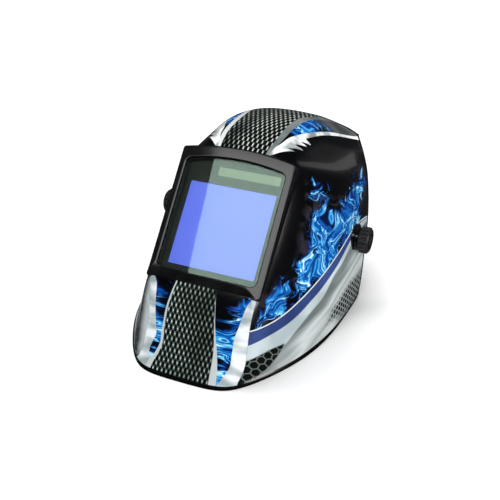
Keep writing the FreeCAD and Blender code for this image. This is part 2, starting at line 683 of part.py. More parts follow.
def make_arm():
    """A bowed strap that carries the pivot outside the band."""
    foot = BAND_HALF + 0.1
    t = ARM_OUT - ARM_IN
    front, rear = ARM_Y - ARM_FLAT, ARM_Y + ARM_FLAT
    outer = [(front - ARM_RISE - ARM_FOOT, foot + t), (front - ARM_RISE, foot + t), (front, ARM_OUT),
             (rear, ARM_OUT), (rear + ARM_RISE, foot + t), (rear + ARM_RISE + ARM_FOOT, foot + t)]
    lean = t * 0.36
    inner = [(rear + ARM_RISE + ARM_FOOT, foot), (rear + ARM_RISE - lean, foot), (rear - lean, ARM_IN),
             (front + lean, ARM_IN), (front - ARM_RISE + lean, foot), (front - ARM_RISE - ARM_FOOT, foot)]
    corners = [V3(x, y, 20) for y, x in outer + inner]
    strap = Part.Face(Part.makePolygon(corners + corners[:1])).extrude(V3(0, 0, 60))
    low, high = PIVOT_Z - 12, PIVOT_Z + 13
    side = [(front - 25, 48), (front - 8, 48), (front - 1, low),
            (rear + 1, low), (rear + 8, 48), (rear + 25, 48),
            (rear + 25, 64), (rear + 8, 64), (rear + 1, high),
            (front - 1, high), (front - 8, 64), (front - 25, 64)]
    strap = strap.common(prism(side, 60, 110))
    slot_front = PIVOT_Y - SLIDE_TRAVEL - 8 - GAP
    slot_rear = PIVOT_Y + 8 + GAP
    slot = box(90, 110, slot_front, slot_rear, PIVOT_Z - SLOT_HALF_H, PIVOT_Z + SLOT_HALF_H)
    return cut(strap, [slot] + [rod_x(60, 90, y, z, RIVET_R) for y, z in RIVETS])


def make_rivets():
    rivets = []
    for side in (-1, 1):
        for y, z in RIVETS:
            shank = rod_x(side * (BAND_HALF - BAND_T + 0.2), side * 77.2, y, z, RIVET_R)
            rivets.append(fuse([shank, rod_x(side * 76.9, side * 78.3, y, z, 3.6)]))
    return Part.makeCompound(rivets)


def strap_arch(rise):
    """Half of a crown strap: straight up from its foot, over the head and past the middle."""
    def outline(inset):
        half = BAND_HALF + 0.1 + STRAP_T - inset
        y = STRAP_Y - STRAP_HALF_W
        arch = Part.Ellipse(V3(half, y, STRAP_BASE), V3(0, y, STRAP_TOP + rise - inset), V3(0, y, STRAP_BASE))
        if STRAP_TOP + rise - inset - STRAP_BASE > half:
            raise ValueError("the crown arch is taller than it is wide")
        wire = Part.Wire([Part.ArcOfEllipse(arch, 0, math.pi).toShape(),
                          Part.makeLine(V3(-half, y, STRAP_BASE), V3(-half, y, 48)),
                          Part.makeLine(V3(-half, y, 48), V3(half, y, 48)),
                          Part.makeLine(V3(half, y, 48), V3(half, y, STRAP_BASE))])
        return Part.Face(wire).extrude(V3(0, 2 * STRAP_HALF_W, 0))
    under = outline(STRAP_T)
    under = fuse([under, under.translated(V3(0, 0, -10))])
    arch = outline(0).cut(under)
    arch = arch.common(box(-STRAP_END, 90, 0, 300, 47, 140))
    return cut(arch, [Part.makeCylinder(2.3, 60, V3(x, STRAP_Y, 90)) for x in (-9, 0, 9, 27)])


def make_crown_pins():
    pins = []
    for x in (-9, 9):
        stem = Part.makeCylinder(2.15, 8.2, V3(x, STRAP_Y, 116.4))
        head = Part.makeCylinder(4.2, 1.6, V3(x, STRAP_Y, 124.4))
        pins.append(fuse([stem, head]))
    return Part.makeCompound(pins)


def make_sweatband():
    side = [(20, BROW_LOW - 2), (66, BROW_LOW - 2), (84, SIDE_LOW), (84, SIDE_HIGH + 2), (66, BROW_HIGH + 2),
            (20, BROW_HIGH + 2)]
    return band_ring(BAND_T + 0.3, PAD_T).common(prism(side, -90, 90))


def make_nape_pad():
    side = [(185, NAPE_Z - 11), (240, NAPE_Z - 12), (240, NAPE_Z + 12), (185, NAPE_Z + 11)]
    return band_ring(BAND_T + GAP + NAPE_T + 0.3, PAD_T).common(prism(side, -90, 90))


def add_headgear():
    add("headband", make_headband())
    add("nape_band", make_nape_band())
    for name, shape in {"band_guide": make_guide(), "side_arm": make_arm()}.items():
        add(name + "_left", shape)
        add(name + "_right", mirror_x(shape))
    add("rivets", make_rivets())
    add("crown_strap_left", strap_arch(0))
    add("crown_strap_right", mirror_x(strap_arch(STRAP_T + 0.3)))
    add("crown_pins", make_crown_pins())
    add("sweatband", make_sweatband())
    add("nape_pad", make_nape_pad())


# ---------------------------------------------------------------- ratchet

def involute_flank(base_r, start_r, end_r, steps):
    """Points (radius, angle) along an involute of the base circle."""
    points = []
    for i in range(steps + 1):
        radius = max(base_r, start_r) + (end_r - max(base_r, start_r)) * i / steps
        roll = math.sqrt(max(0.0, (radius / base_r) ** 2 - 1))
        points.append((radius, roll - math.atan(roll)))
    return points


def pinion_face(y):
    """The pinion's outline: involute teeth, each a little thin for backlash."""
    base_r = PITCH_R * math.cos(PRESSURE)
    root_r = PITCH_R - 1.05 * MODULE
    tip_r = PITCH_R + 0.8 * MODULE
    roll = math.tan(PRESSURE)
    at_pitch = roll - PRESSURE
    half_tooth = math.pi / (2 * TEETH) - BACKLASH / (2 * PITCH_R)
    flank = [(root_r, 0.0)] + involute_flank(base_r, root_r, tip_r, 5)
    points = []
    for k in range(TEETH):
        middle = 2 * math.pi * (k + 0.5) / TEETH
        rising = [(r, middle - half_tooth - at_pitch + a) for r, a in flank]
        falling = [(r, middle + half_tooth + at_pitch - a) for r, a in reversed(flank)]
        for r, angle in rising + falling:
            points.append(V3(r * math.sin(angle), y, NAPE_Z + r * math.cos(angle)))
    return Part.Face(Part.makePolygon(points + points[:1]))


def make_pinion():
    wheel = pinion_face(GEAR_FRONT).extrude(V3(0, GEAR_BACK - GEAR_FRONT, 0))
    return fuse([wheel, rod_y(GEAR_FRONT - 1.2, SPINDLE_END, 0, NAPE_Z, SPINDLE_R)])


def make_rack(sign):
    """A straight rack that meshes above (sign 1) or below (sign -1) the pinion."""
    pitch = math.pi * MODULE
    tip = PITCH_R - 0.8 * MODULE
    root = PITCH_R + 1.05 * MODULE
    slant = math.tan(PRESSURE)
    half_tooth = pitch / 4 - BACKLASH / 2
    length = RACK_TEETH * pitch
    points = [(-length / 2, root)]
    for k in range(RACK_TEETH):
        middle = -length / 2 + pitch * (k + 0.5)
        points += [(middle - half_tooth - (root - PITCH_R) * slant, root),
                   (middle - half_tooth + (PITCH_R - tip) * slant, tip),
                   (middle + half_tooth - (PITCH_R - tip) * slant, tip),
                   (middle + half_tooth + (root - PITCH_R) * slant, root)]
    points += [(length / 2, root), (length / 2, root + 2.6), (-length / 2, root + 2.6)]
    corners = [V3(x, GEAR_FRONT, NAPE_Z + sign * z) for x, z in points]
    return Part.Face(Part.makePolygon(corners + corners[:1])).extrude(V3(0, GEAR_BACK - GEAR_FRONT, 0))


def ratchet_blank(y0, y1):
    return plate(-RATCHET_HALF_W, RATCHET_HALF_W, y0, y1, NAPE_Z - RATCHET_HALF_H, NAPE_Z + RATCHET_HALF_H, 6.0)


def make_ratchet_housing():
    body = ratchet_blank(RATCHET_FRONT, RATCHET_SPLIT)
    saddle = box(-26, 26, 198, RATCHET_FRONT + 1, NAPE_Z - 8, NAPE_Z + 8)
    saddle = saddle.cut(band_outline(BAND_T + GAP, 20, 100))
    channel = box(-40, 40, GEAR_FRONT - 0.3, RATCHET_SPLIT + 1, NAPE_Z - 9.8, NAPE_Z + 9.8)
    pocket = rod_y(GEAR_FRONT - 1.5, GEAR_FRONT, 0, NAPE_Z, SPINDLE_R + RUN)
    return cut(fuse([body, saddle]), [channel, pocket])


def make_ratchet_cover():
    body = ratchet_blank(RATCHET_SPLIT, RATCHET_BACK)
    body = body.makeFillet(1.6, [e for e in body.Edges if abs(e.BoundBox.YMin - RATCHET_BACK) < 1e-6])
    hollow = box(-29, 29, RATCHET_SPLIT - 1, RATCHET_BACK - 2, NAPE_Z - 9, NAPE_Z + 9)
    keep = rod_y(RATCHET_SPLIT, RATCHET_BACK, 0, NAPE_Z, 6.0)
    bore = rod_y(RATCHET_SPLIT - 1, RATCHET_BACK + 1, 0, NAPE_Z, SPINDLE_R + RUN)
    return fuse([body.cut(hollow), keep]).cut(bore)


def make_ratchet_knob():
    depth = RATCHET_KNOB_BACK - RATCHET_KNOB_FRONT
    bore = Part.makeCylinder(SPINDLE_R, SPINDLE_END - RATCHET_KNOB_FRONT)
    return turn_to(grip(RATCHET_KNOB_R, depth, 14, 1.9).cut(bore), V3(0, 1, 0), V3(0, RATCHET_KNOB_FRONT, NAPE_Z))


def add_ratchet():
    add("ratchet_housing", make_ratchet_housing())
    add("ratchet_cover", make_ratchet_cover())
    add("ratchet_knob", make_ratchet_knob())
    add("ratchet_pinion", make_pinion())
    add("ratchet_rack_left", make_rack(1))
    add("ratchet_rack_right", make_rack(-1))


# ---------------------------------------------------------------- output

NODES = {}


def add(name, shape):
    NODES[name] = shape


def stand(shape):
    """Worn frame to object frame."""
    placed = shape.copy()
    placed.rotate(V3(0, 0, 0), V3(1, 0, 0), -LEAN)
    placed.translate(V3(0, CHIN_TO_GLASS - CHIN_TO_ORIGIN, GLASS_HEIGHT))
    return placed


def main():
    os.makedirs("parts", exist_ok=True)
    add("shell", make_shell())
    add_lens_group()
    add_pivots()
    add_headgear()
    add_ratchet()
    for name, shape in NODES.items():
        placed = stand(shape)
        print(name, placed.isValid(), len(placed.Solids), round(placed.Volume / 1000, 2), placed.BoundBox)
        placed.exportStep("parts/" + name + ".step")


main()
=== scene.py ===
import json
import math

import bmesh
import bpy
import numpy as np
from mathutils import Matrix, Vector, kdtree


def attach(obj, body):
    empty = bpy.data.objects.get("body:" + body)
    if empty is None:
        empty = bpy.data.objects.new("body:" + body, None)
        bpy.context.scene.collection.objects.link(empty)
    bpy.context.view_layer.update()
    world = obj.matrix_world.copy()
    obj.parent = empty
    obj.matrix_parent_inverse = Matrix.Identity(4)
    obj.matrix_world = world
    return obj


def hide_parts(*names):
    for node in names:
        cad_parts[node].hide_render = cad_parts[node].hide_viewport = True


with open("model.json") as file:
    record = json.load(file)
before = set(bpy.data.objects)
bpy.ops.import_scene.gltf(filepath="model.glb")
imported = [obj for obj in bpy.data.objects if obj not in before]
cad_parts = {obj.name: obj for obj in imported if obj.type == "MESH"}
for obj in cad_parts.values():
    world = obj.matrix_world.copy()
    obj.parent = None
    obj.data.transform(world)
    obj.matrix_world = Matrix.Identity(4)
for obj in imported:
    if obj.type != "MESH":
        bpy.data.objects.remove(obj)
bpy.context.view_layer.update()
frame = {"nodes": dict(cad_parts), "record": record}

# Welding helmet: the looks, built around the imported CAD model.
# The shell is drawn in the worn frame, in millimetres, and turned into the object frame, in metres.
# Worn frame: origin at the centre of the filter glass, x to the wearer's left, y backward, z up.

NODES = frame["nodes"]
MM = 0.001

# Standing pose
LEAN = math.radians(41.4)
GLASS_HEIGHT = 125.0
CHIN_TO_GLASS = 106.0
CHIN_TO_ORIGIN = 167.09
BACK = np.array([0.0, math.cos(LEAN), -math.sin(LEAN)])
UP = np.array([0.0, math.sin(LEAN), math.cos(LEAN)])
GLASS_CENTRE = np.array([0.0, CHIN_TO_GLASS - CHIN_TO_ORIGIN, GLASS_HEIGHT])

# Camera
AZIMUTH = math.radians(23.42)
ELEVATION = math.radians(30.0)
DISTANCE = 0.8614
AIM_RIGHT = 0.0297
AIM_UP = -0.0217
LENS = 58.85

# Shell
SKIN = 2.6
RIM_EXTRA = 3.0
GRID_U = 240
GRID_V = 200
LIP_WIDTH = 4.2
LIP_RISE = 0.9

# Lens frame
BEZEL_FRONT = -12.0
BEZEL_BACK = 12.0
BEZEL = (64.5, -66.5, 80.0, 87.0)       # half width, bottom, side height, crown of the arch
OPENING = (57.2, -54.0, 67.4, 74.5)
POCKET = (60.0, -57.5, 77.8, 79.5)
FLANGE_BACK = -8.5
BAR_SLOPE = 10.0
LENS_FACE = -8.4
BEZEL_CORNER = 3.0
CUT_INSET = 0.8             # the skin's opening: inside the frame's outline, well past its front,
CUT_FRONT = -60.0           # and short of its back
CUT_STOP = 0.5
OPENING_CORNER = 7.0
OUTER_ROUND = 1.3           # soft edges of the frame's front
INNER_ROUND = 1.0
FLAT_BORDER = 0.4           # narrow flat beside each soft edge, which keeps the shading crisp
ROUND_STEPS = 6

# Print
FRONT_CELL = 10.5           # pitches of the honeycombs and of the perforated strips
REAR_CELL = 6.6
SNOUT_PITCH = 5.2
CROWN_PITCH = 5.6
CROWN_START = 79.0          # height where the crown's print takes over
SOLAR_STRIP = 11.4
PANE_HEIGHT = 93.0

# Pivot
PIVOT_Y = 120.0
PIVOT_Z = 44.0
PAD_IN = 111.2
PAD_OUT = 118.4
PIVOT_BORE = 8.0
PAD_R = 17.0
PAD_R_OUT = 13.5
LATHE_STEPS = 64


# ---------------- frame helpers

def to_object(points):
    """Worn frame, millimetres, to object frame, metres."""
    p = np.asarray(points, float)
    side = p[..., 0:1] * np.array([1.0, 0.0, 0.0])
    return (side + p[..., 1:2] * BACK + p[..., 2:3] * UP + GLASS_CENTRE) * MM


def to_worn(points):
    """Object frame, metres, to worn frame, millimetres."""
    p = np.asarray(points, float) / MM - GLASS_CENTRE
    return np.stack([p[..., 0], p @ BACK, p @ UP], -1)


def add_object(name, data):
    obj = bpy.data.objects.new(name, data)
    bpy.context.scene.collection.objects.link(obj)
    return obj


def new_mesh(name, points, faces, body, materials, worn=True):
    mesh = bpy.data.meshes.new(name)
    placed = to_object(points) if worn else np.asarray(points, float)
    mesh.from_pydata([tuple(p) for p in placed], [], faces)
    mesh.validate()
    for material in materials:
        mesh.materials.append(material)
    obj = add_object(name, mesh)
    smooth(obj)
    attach(obj, body)
    return obj


def smooth(obj, angle=38.0):
    obj.data.polygons.foreach_set("use_smooth", [True] * len(obj.data.polygons))
    obj.data.set_sharp_from_angle(angle=math.radians(angle))


def face_outward(obj):
    bm = bmesh.new()
    bm.from_mesh(obj.data)
    bmesh.ops.recalc_face_normals(bm, faces=bm.faces)
    bm.to_mesh(obj.data)
    bm.free()


def apply_modifiers(obj):
    graph = bpy.context.evaluated_depsgraph_get()
    finished = bpy.data.meshes.new_from_object(obj.evaluated_get(graph), depsgraph=graph)
    obj.modifiers.clear()
    obj.data = finished


# ---------------- node graphs

def linear(red, green, blue):
    """An sRGB colour, 0 to 255, as the linear colour that shaders use."""
    out = []
    for value in (red, green, blue):
        share = value / 255
        out.append(share / 12.92 if share <= 0.04045 else ((share + 0.055) / 1.055) ** 2.4)
    return tuple(out) + (1.0,)


class Field:
    """A number that varies over a surface. Arithmetic on it adds the nodes."""

    def __init__(self, tree, socket):
        self.tree = tree
        self.socket = socket

    def math(self, operation, *others):
        node = self.tree.nodes.new("ShaderNodeMath")
        node.operation = operation
        for place, value in enumerate((self,) + others):
            feed(value, node.inputs[place])
        return Field(self.tree, node.outputs[0])

    def __add__(self, other):
        return self.math("ADD", other)

    def __sub__(self, other):
        return self.math("SUBTRACT", other)

    def __mul__(self, other):
        return self.math("MULTIPLY", other)

    def __truediv__(self, other):
        return self.math("DIVIDE", other)

    __radd__ = __add__
    __rmul__ = __mul__

    def __rsub__(self, other):
        return (self * -1.0) + other

    def abs(self):
        return self.math("ABSOLUTE")

    def least(self, other):
        return self.math("MINIMUM", other)

    def most(self, other):
        return self.math("MAXIMUM", other)

    def power(self, other):
        return self.math("POWER", other)

    def rise(self, low, high):
        """0 below low and 1 above high, with a soft step between."""
        node = self.tree.nodes.new("ShaderNodeMapRange")
        node.interpolation_type = "SMOOTHSTEP"
        feed(self, node.inputs["Value"])
        node.inputs["From Min"].default_value = low
        node.inputs["From Max"].default_value = high
        return Field(self.tree, node.outputs["Result"])

    def fall(self, low, high):
        return 1.0 - self.rise(low, high)


def feed(value, socket):
    """Links a field to a socket, or sets the socket to a plain value."""
    if isinstance(value, Field):
        value.tree.links.new(value.socket, socket)
    else:
        socket.default_value = value


def mix(low, high, share):
    """A colour between two others."""
    node = share.tree.nodes.new("ShaderNodeMix")
    node.data_type = "RGBA"
    feed(share, node.inputs[0])
    feed(low, node.inputs[6])
    feed(high, node.inputs[7])
    return Field(share.tree, node.outputs[2])


def combine(x, y, z):
    node = x.tree.nodes.new("ShaderNodeCombineXYZ")
    for value, socket in zip((x, y, z), node.inputs):
        feed(value, socket)
    return Field(x.tree, node.outputs[0])


def place_mm(tree):
    """The surface's own place in the object frame, in millimetres."""
    coords = tree.nodes.new("ShaderNodeTexCoord")
    split = tree.nodes.new("ShaderNodeSeparateXYZ")
    tree.links.new(coords.outputs["Object"], split.inputs[0])
    return [Field(tree, socket) / MM for socket in split.outputs]


def place_vector(tree):
    return combine(*place_mm(tree))


def worn_place(tree):
    """The surface's own place in the worn frame, in millimetres: x, y, z."""
    x, y, z = place_mm(tree)
    y = y - float(GLASS_CENTRE[1])
    z = z - float(GLASS_CENTRE[2])
    back = y * float(BACK[1]) + z * float(BACK[2])
    up = y * float(UP[1]) + z * float(UP[2])
    return x, back, up


def noise(place, scale, detail=3.0, roughness=0.5, distortion=0.0):
    node = place.tree.nodes.new("ShaderNodeTexNoise")
    feed(place, node.inputs["Vector"])
    values = {"Scale": scale, "Detail": detail, "Roughness": roughness, "Distortion": distortion}
    for socket, value in values.items():
        node.inputs[socket].default_value = value
    return Field(place.tree, node.outputs[0])


def cells(place, scale):
    node = place.tree.nodes.new("ShaderNodeTexVoronoi")
    feed(place, node.inputs["Vector"])
    node.inputs["Scale"].default_value = scale
    return Field(place.tree, node.outputs["Distance"])


def ramp(field, stops):
    node = field.tree.nodes.new("ShaderNodeValToRGB")
    feed(field, node.inputs[0])
    points = node.color_ramp.elements
    while len(points) < len(stops):
        points.new(0.5)
    for point, (position, colour) in zip(points, stops):
        point.position = position
        point.color = colour
    return Field(field.tree, node.outputs[0])


def mesh_value(tree, name):
    node = tree.nodes.new("ShaderNodeAttribute")
    node.attribute_name = name
    return Field(tree, node.outputs["Fac"])


def surface(name, roughness, metallic=0.0, specular=0.5, coat=0.0):
    """A new material with its node tree and its one shader."""
    material = bpy.data.materials.new(name)
    material.use_nodes = True
    tree = material.node_tree
    shader = tree.nodes["Principled BSDF"]
    values = {"Roughness": roughness, "Metallic": metallic, "Specular IOR Level": specular,
              "Coat Weight": coat, "Coat Roughness": 0.04}
    for socket, value in values.items():
        shader.inputs[socket].default_value = value
    return material, tree, shader


def bare_material(name):
    """A new material and its node tree, with nothing wired to the output yet."""
    material = bpy.data.materials.new(name)
    material.use_nodes = True
    material.node_tree.nodes.remove(material.node_tree.nodes["Principled BSDF"])
    return material, material.node_tree


def bump(shader, height, depth_mm, strength=1.0):
    node = height.tree.nodes.new("ShaderNodeBump")
    node.inputs["Distance"].default_value = depth_mm * MM
    node.inputs["Strength"].default_value = strength
    feed(height, node.inputs["Height"])
    height.tree.links.new(node.outputs[0], shader.inputs["Normal"])


# ---------------- plain materials

def moulded(name, colour, roughness, grain=0.7, specular=0.4, relief=0.06):
    """Moulded plastic: fine spark grain, faint flow marks and a little wear in its gloss."""
    material, tree, shader = surface(name, roughness, specular=specular)
    place = place_vector(tree)
    fine = noise(place, 1.6 / grain, 4.0, 0.6)
    broad = noise(place, 0.045, 2.0)
    dark = tuple(0.72 * c for c in colour[:3]) + (1.0,)
    light = tuple(min(1.0, 1.35 * c + 0.004) for c in colour[:3]) + (1.0,)
    tone = broad * 0.7 + fine * 0.3
    feed(mix(dark, light, tone.rise(0.3, 0.7)), shader.inputs["Base Color"])
    gloss = roughness * (0.8 + broad * 0.4) + (fine - 0.5) * 0.05
    feed(gloss, shader.inputs["Roughness"])
    bump(shader, fine, relief, 0.55)
    return material


def knob_rubber():
    """Soft-touch black rubber: lighter in colour on the ribs than in the hollows, and worn smoother on the
    ribs.
    """
    material, tree, shader = surface("knob_rubber", 0.5, specular=0.45)
    place = place_vector(tree)
    fine = noise(place, 2.6, 5.0, 0.65)
    broad = noise(place, 0.14, 3.0)
    geometry = tree.nodes.new("ShaderNodeNewGeometry")
    ridge = Field(tree, geometry.outputs["Pointiness"]).rise(0.49, 0.56)
    tone = mix(linear(10, 10, 11), linear(26, 27, 28), broad.rise(0.35, 0.7))
    tone = mix(tone, linear(40, 41, 43), ridge * 0.5)
    feed(tone, shader.inputs["Base Color"])
    feed(0.52 - ridge * 0.16 + (fine - 0.5) * 0.2, shader.inputs["Roughness"])
    bump(shader, fine, 0.09, 0.6)
    return material


def plated_steel():
    """Zinc-plated steel: short drawn scratches and cloudy passivation."""
    material, tree, shader = surface("plated_steel", 0.3, metallic=1.0)
    x, y, z = place_mm(tree)
    scratch = noise(combine(x * 0.25, y * 5.0, z * 5.0), 1.0, 3.0)
    cloud = noise(combine(x, y, z), 0.25, 3.0)
    tone = mix(linear(150, 150, 152), linear(205, 204, 200), cloud.rise(0.3, 0.7))
    feed(tone, shader.inputs["Base Color"])
    feed(0.24 + scratch * 0.2, shader.inputs["Roughness"])
    bump(shader, scratch, 0.02, 0.5)
    return material


def foam():
    material, tree, shader = surface("gasket_foam", 0.85, specular=0.2)
    pores = cells(place_vector(tree), 1.3)
    feed(mix(linear(14, 14, 14), linear(46, 46, 46), pores), shader.inputs["Base Color"])
    bump(shader, pores, 0.25, 0.8)
    return material


def sweat_cloth():
    """Black terry cloth: rows of small loops over a soft, uneven pile."""
    material, tree, shader = surface("sweat_cloth", 0.92, specular=0.15)
    shader.inputs["Sheen Weight"].default_value = 0.35
    shader.inputs["Sheen Roughness"].default_value = 0.5
    place = place_vector(tree)
    loops = cells(place, 0.95)
    pile = noise(place, 0.5, 4.0, 0.7)
    tone = mix(linear(17, 18, 20), linear(62, 63, 68), loops * 0.6 + pile * 0.5)
    feed(tone, shader.inputs["Base Color"])
    bump(shader, loops + pile * 0.6, 0.5, 0.9)
    return material


def clear_lens():
    """Clear polycarbonate: seen straight through, with sharp reflections from its hard coat."""
    material, tree = bare_material("clear_lens")
    through = tree.nodes.new("ShaderNodeBsdfTransparent")
    gloss = tree.nodes.new("ShaderNodeBsdfGlossy")
    gloss.inputs["Roughness"].default_value = 0.015
    gloss.inputs["Color"].default_value = (0.74, 1.0, 0.86, 1)
    fresnel = tree.nodes.new("ShaderNodeFresnel")
    fresnel.inputs["IOR"].default_value = 1.49
    haze = noise(place_vector(tree), 0.05, 4.0)
    feed(mix((0.93, 0.97, 0.95, 1), (0.99, 1.0, 0.99, 1), haze), through.inputs["Color"])
    blend = tree.nodes.new("ShaderNodeMixShader")
    tree.links.new(fresnel.outputs[0], blend.inputs[0])
    tree.links.new(through.outputs[0], blend.inputs[1])
    tree.links.new(gloss.outputs[0], blend.inputs[2])
    tree.links.new(blend.outputs[0], tree.nodes["Material Output"].inputs["Surface"])
    return material


def filter_coating_painted_glow():
    """The filter's interference coating: violet-blue, shifting slightly over the pane, and lit from within
    by a painted glow.
    """
    material, tree, shader = surface("filter_coating_painted_glow", 0.12, specular=0.4)
    x, back, up = worn_place(tree)
    drift = noise(combine(x, back, up), 0.012, 2.0)
    share = (up / PANE_HEIGHT + 0.5) * 0.6 + drift * 0.4
    tone = mix(linear(104, 120, 244), linear(118, 134, 252), share)
    feed(tone, shader.inputs["Base Color"])
    feed(0.1 + drift * 0.06, shader.inputs["Roughness"])
    # painted glow: the pane gives off violet-blue light of its own, though it is no lamp, to brighten it
    shader.inputs["Emission Color"].default_value = linear(112, 128, 250)
    shader.inputs["Emission Strength"].default_value = 0.42
    return material


def solar_cell():
    """A thin-film cell: pale green strips between dark scribe lines."""
    material, tree, shader = surface("solar_cell", 0.3, specular=0.4)
    x, back, up = worn_place(tree)
    strip = ((x + 200.0) / SOLAR_STRIP).math("FRACT")
    line = (strip - 0.5).abs().rise(0.485, 0.493)
    cloud = noise(combine(x, back, up), 0.09, 3.0)
    tone = mix(linear(150, 168, 138), linear(164, 182, 152), cloud)
    tone = mix(tone, linear(96, 112, 92), line)
    feed(tone, shader.inputs["Base Color"])
    bump(shader, 1.0 - line, 0.05, 0.6)
    return material


def circuit():
    material, tree, shader = surface("circuit_board", 0.4)
    x, back, up = worn_place(tree)
    tracks = noise(combine(x * 0.2, back, up * 1.4), 0.5, 1.0).rise(0.52, 0.56)
    tone = mix(linear(12, 66, 36), linear(38, 112, 66), tracks)
    feed(tone, shader.inputs["Base Color"])
    bump(shader, tracks, 0.05, 0.6)
    return material


def tinted(name, low, high, roughness):
    """A smooth dark laminate or window with a faint drift in its colour."""
    material, tree, shader = surface(name, roughness, specular=0.5)
    drift = noise(place_vector(tree), 0.06, 3.0)
    feed(mix(low, high, drift), shader.inputs["Base Color"])
    return material


# ---------------- the shell's printed film

ROW_HEIGHT = math.sqrt(3.0)     # of a staggered lattice, in pitches
POSITIVE = 400.0                # whole cells added so that no fraction is taken of a negative number


def lattice_offsets(across, along, pitch, shift_u, shift_v):
    """Distances in pitches, sideways and upward, from one of the two grids that make a staggered lattice."""
    a = ((across / pitch + shift_u + POSITIVE).math("FRACT") - 0.5).abs()
    b = ((((along / pitch + shift_v) / ROW_HEIGHT + POSITIVE).math("FRACT") - 0.5) * ROW_HEIGHT).abs()
    return a, b


def hex_edge(across, along, pitch):
    """Distance in pitch units from the nearest edge of a honeycomb cell, 0 on the edge."""
    def cell_distance(shift_u, shift_v):
        a, b = lattice_offsets(across, along, pitch, shift_u, shift_v)
        return a.most(a * 0.5 + b * (ROW_HEIGHT / 2))

    return 0.5 - cell_distance(0.0, 0.0).least(cell_distance(0.5, ROW_HEIGHT / 2))


def slot_grid(across, along, pitch, narrow, joint_size):
    """Masks of staggered upright slots and of the joints between them; a higher narrow thins the slots."""
    def slot(shift_u, shift_v):
        a, b = lattice_offsets(across, along, pitch, shift_u, shift_v)
        return (a * narrow).power(2.4) + (b * 1.9).power(3.0)

    def joint(shift_u, shift_v):
        a, b = lattice_offsets(across, along, pitch, shift_u, shift_v)
        return (a / joint_size).power(2.0) + (b / joint_size).power(2.0)

    slots = slot(0.0, 0.0).least(slot(0.5, ROW_HEIGHT / 2))
    joints = joint(0.5, 0.0).least(joint(0.0, ROW_HEIGHT / 2))
    return slots.fall(0.75, 1.25), joints.fall(0.0, 1.0)


def flame_colour(x, back, up, inside_mm, seed, grain):
    """Blue fire and its cover: a glow that breaks into curling strands; a higher grain makes them finer."""
    side = x.abs()
    along = (back * 0.55 + up * 0.84) * grain
    across = (up * 0.55 - back * 0.84) * grain
    slow = combine(along * 0.024 + seed, across * 0.034, side * 0.02)
    slow_other = combine(along * 0.024, across * 0.034 + seed, side * 0.02 + 7.3)
    lean = noise(slow, 1.0, 1.0) - 0.5
    sway = noise(slow_other, 1.0, 1.0) - 0.5
    run = along + lean * 60.0
    cross = across + sway * 64.0
    flick = noise(combine(run * 0.06, cross * 0.075 + seed, 3.1), 1.0, 1.0) - 0.5
    cross = cross + flick * 30.0

    def strands(run_scale, cross_scale, phase, sharp):
        field = noise(combine(run * run_scale, cross * cross_scale, phase + seed), 1.0, 2.0, 0.5, 0.35)
        off_crest = ((field - 0.5) * 2.0).abs()
        return (1.0 - off_crest * sharp).most(0.0).power(1.3), (1.0 - off_crest * 2.0).most(0.0)

    bright, halo = strands(0.045, 0.12, 1.7, 10.0)
    fine, fine_halo = strands(0.085, 0.21, 5.2, 8.0)
    hollow = noise(combine(run * 0.034, cross * 0.055, 9.0 + seed), 1.0, 1.0).rise(0.36, 0.62)
    body = (inside_mm + lean * 40.0 + flick * 24.0 + (halo - 0.5) * 16.0).rise(-6.0, 10.0)
    glow = halo * 0.1 + fine_halo * 0.12 + hollow * 0.14
    crests = bright * (0.12 + hollow * 0.32) + fine * (0.1 + hollow * 0.24)
    heat = body * (0.06 + glow + crests)
    return ramp(heat, [
        (0.0, (0.0, 0.0, 0.0, 1)), (0.13, linear(3, 18, 62)), (0.28, linear(4, 64, 150)),
        (0.43, linear(10, 122, 206)), (0.58, linear(70, 182, 234)), (0.8, linear(170, 230, 250)),
        (1.0, linear(246, 253, 255))]), body


def brushed_jaw(tree, side, back, up):
    """The silver swoosh below the navy stripe: swept light and dark streaks, dark again at the rim."""
    along = back * 0.62 + up * 0.78
    across = up * 0.62 - back * 0.78
    streak = noise(combine(across * 0.075, along * 0.008, side * 0.01), 1.0, 2.0)
    hair = noise(combine(across * 0.9, along * 0.02, side * 0.02), 1.0, 2.0)
    share = (mesh_value(tree, "silver_low") + (streak - 0.5) * 40.0) / 66.0
    metal = ramp(share, [
        (0.0, linear(104, 112, 112)), (0.12, linear(138, 147, 147)), (0.3, linear(204, 212, 212)),
        (0.44, linear(160, 168, 168)), (0.58, linear(206, 213, 213)), (0.78, linear(140, 147, 147)),
        (1.0, linear(78, 84, 84))])
    front = back.fall(24.0, 66.0)
    metal = mix(metal, linear(58, 64, 63), front * mesh_value(tree, "silver_low").rise(2.0, 22.0) * 0.8)
    return mix(metal, linear(232, 236, 236), hair.rise(0.6, 0.75) * 0.18)


def honeycomb(place, pitch, dark, light, web):
    """Dark cells between lighter webs; web is the half width of a web in pitches."""
    edge = hex_edge(place[0], place[1], pitch)
    return mix(dark, light, edge.fall(web * 0.65, web * 1.35))


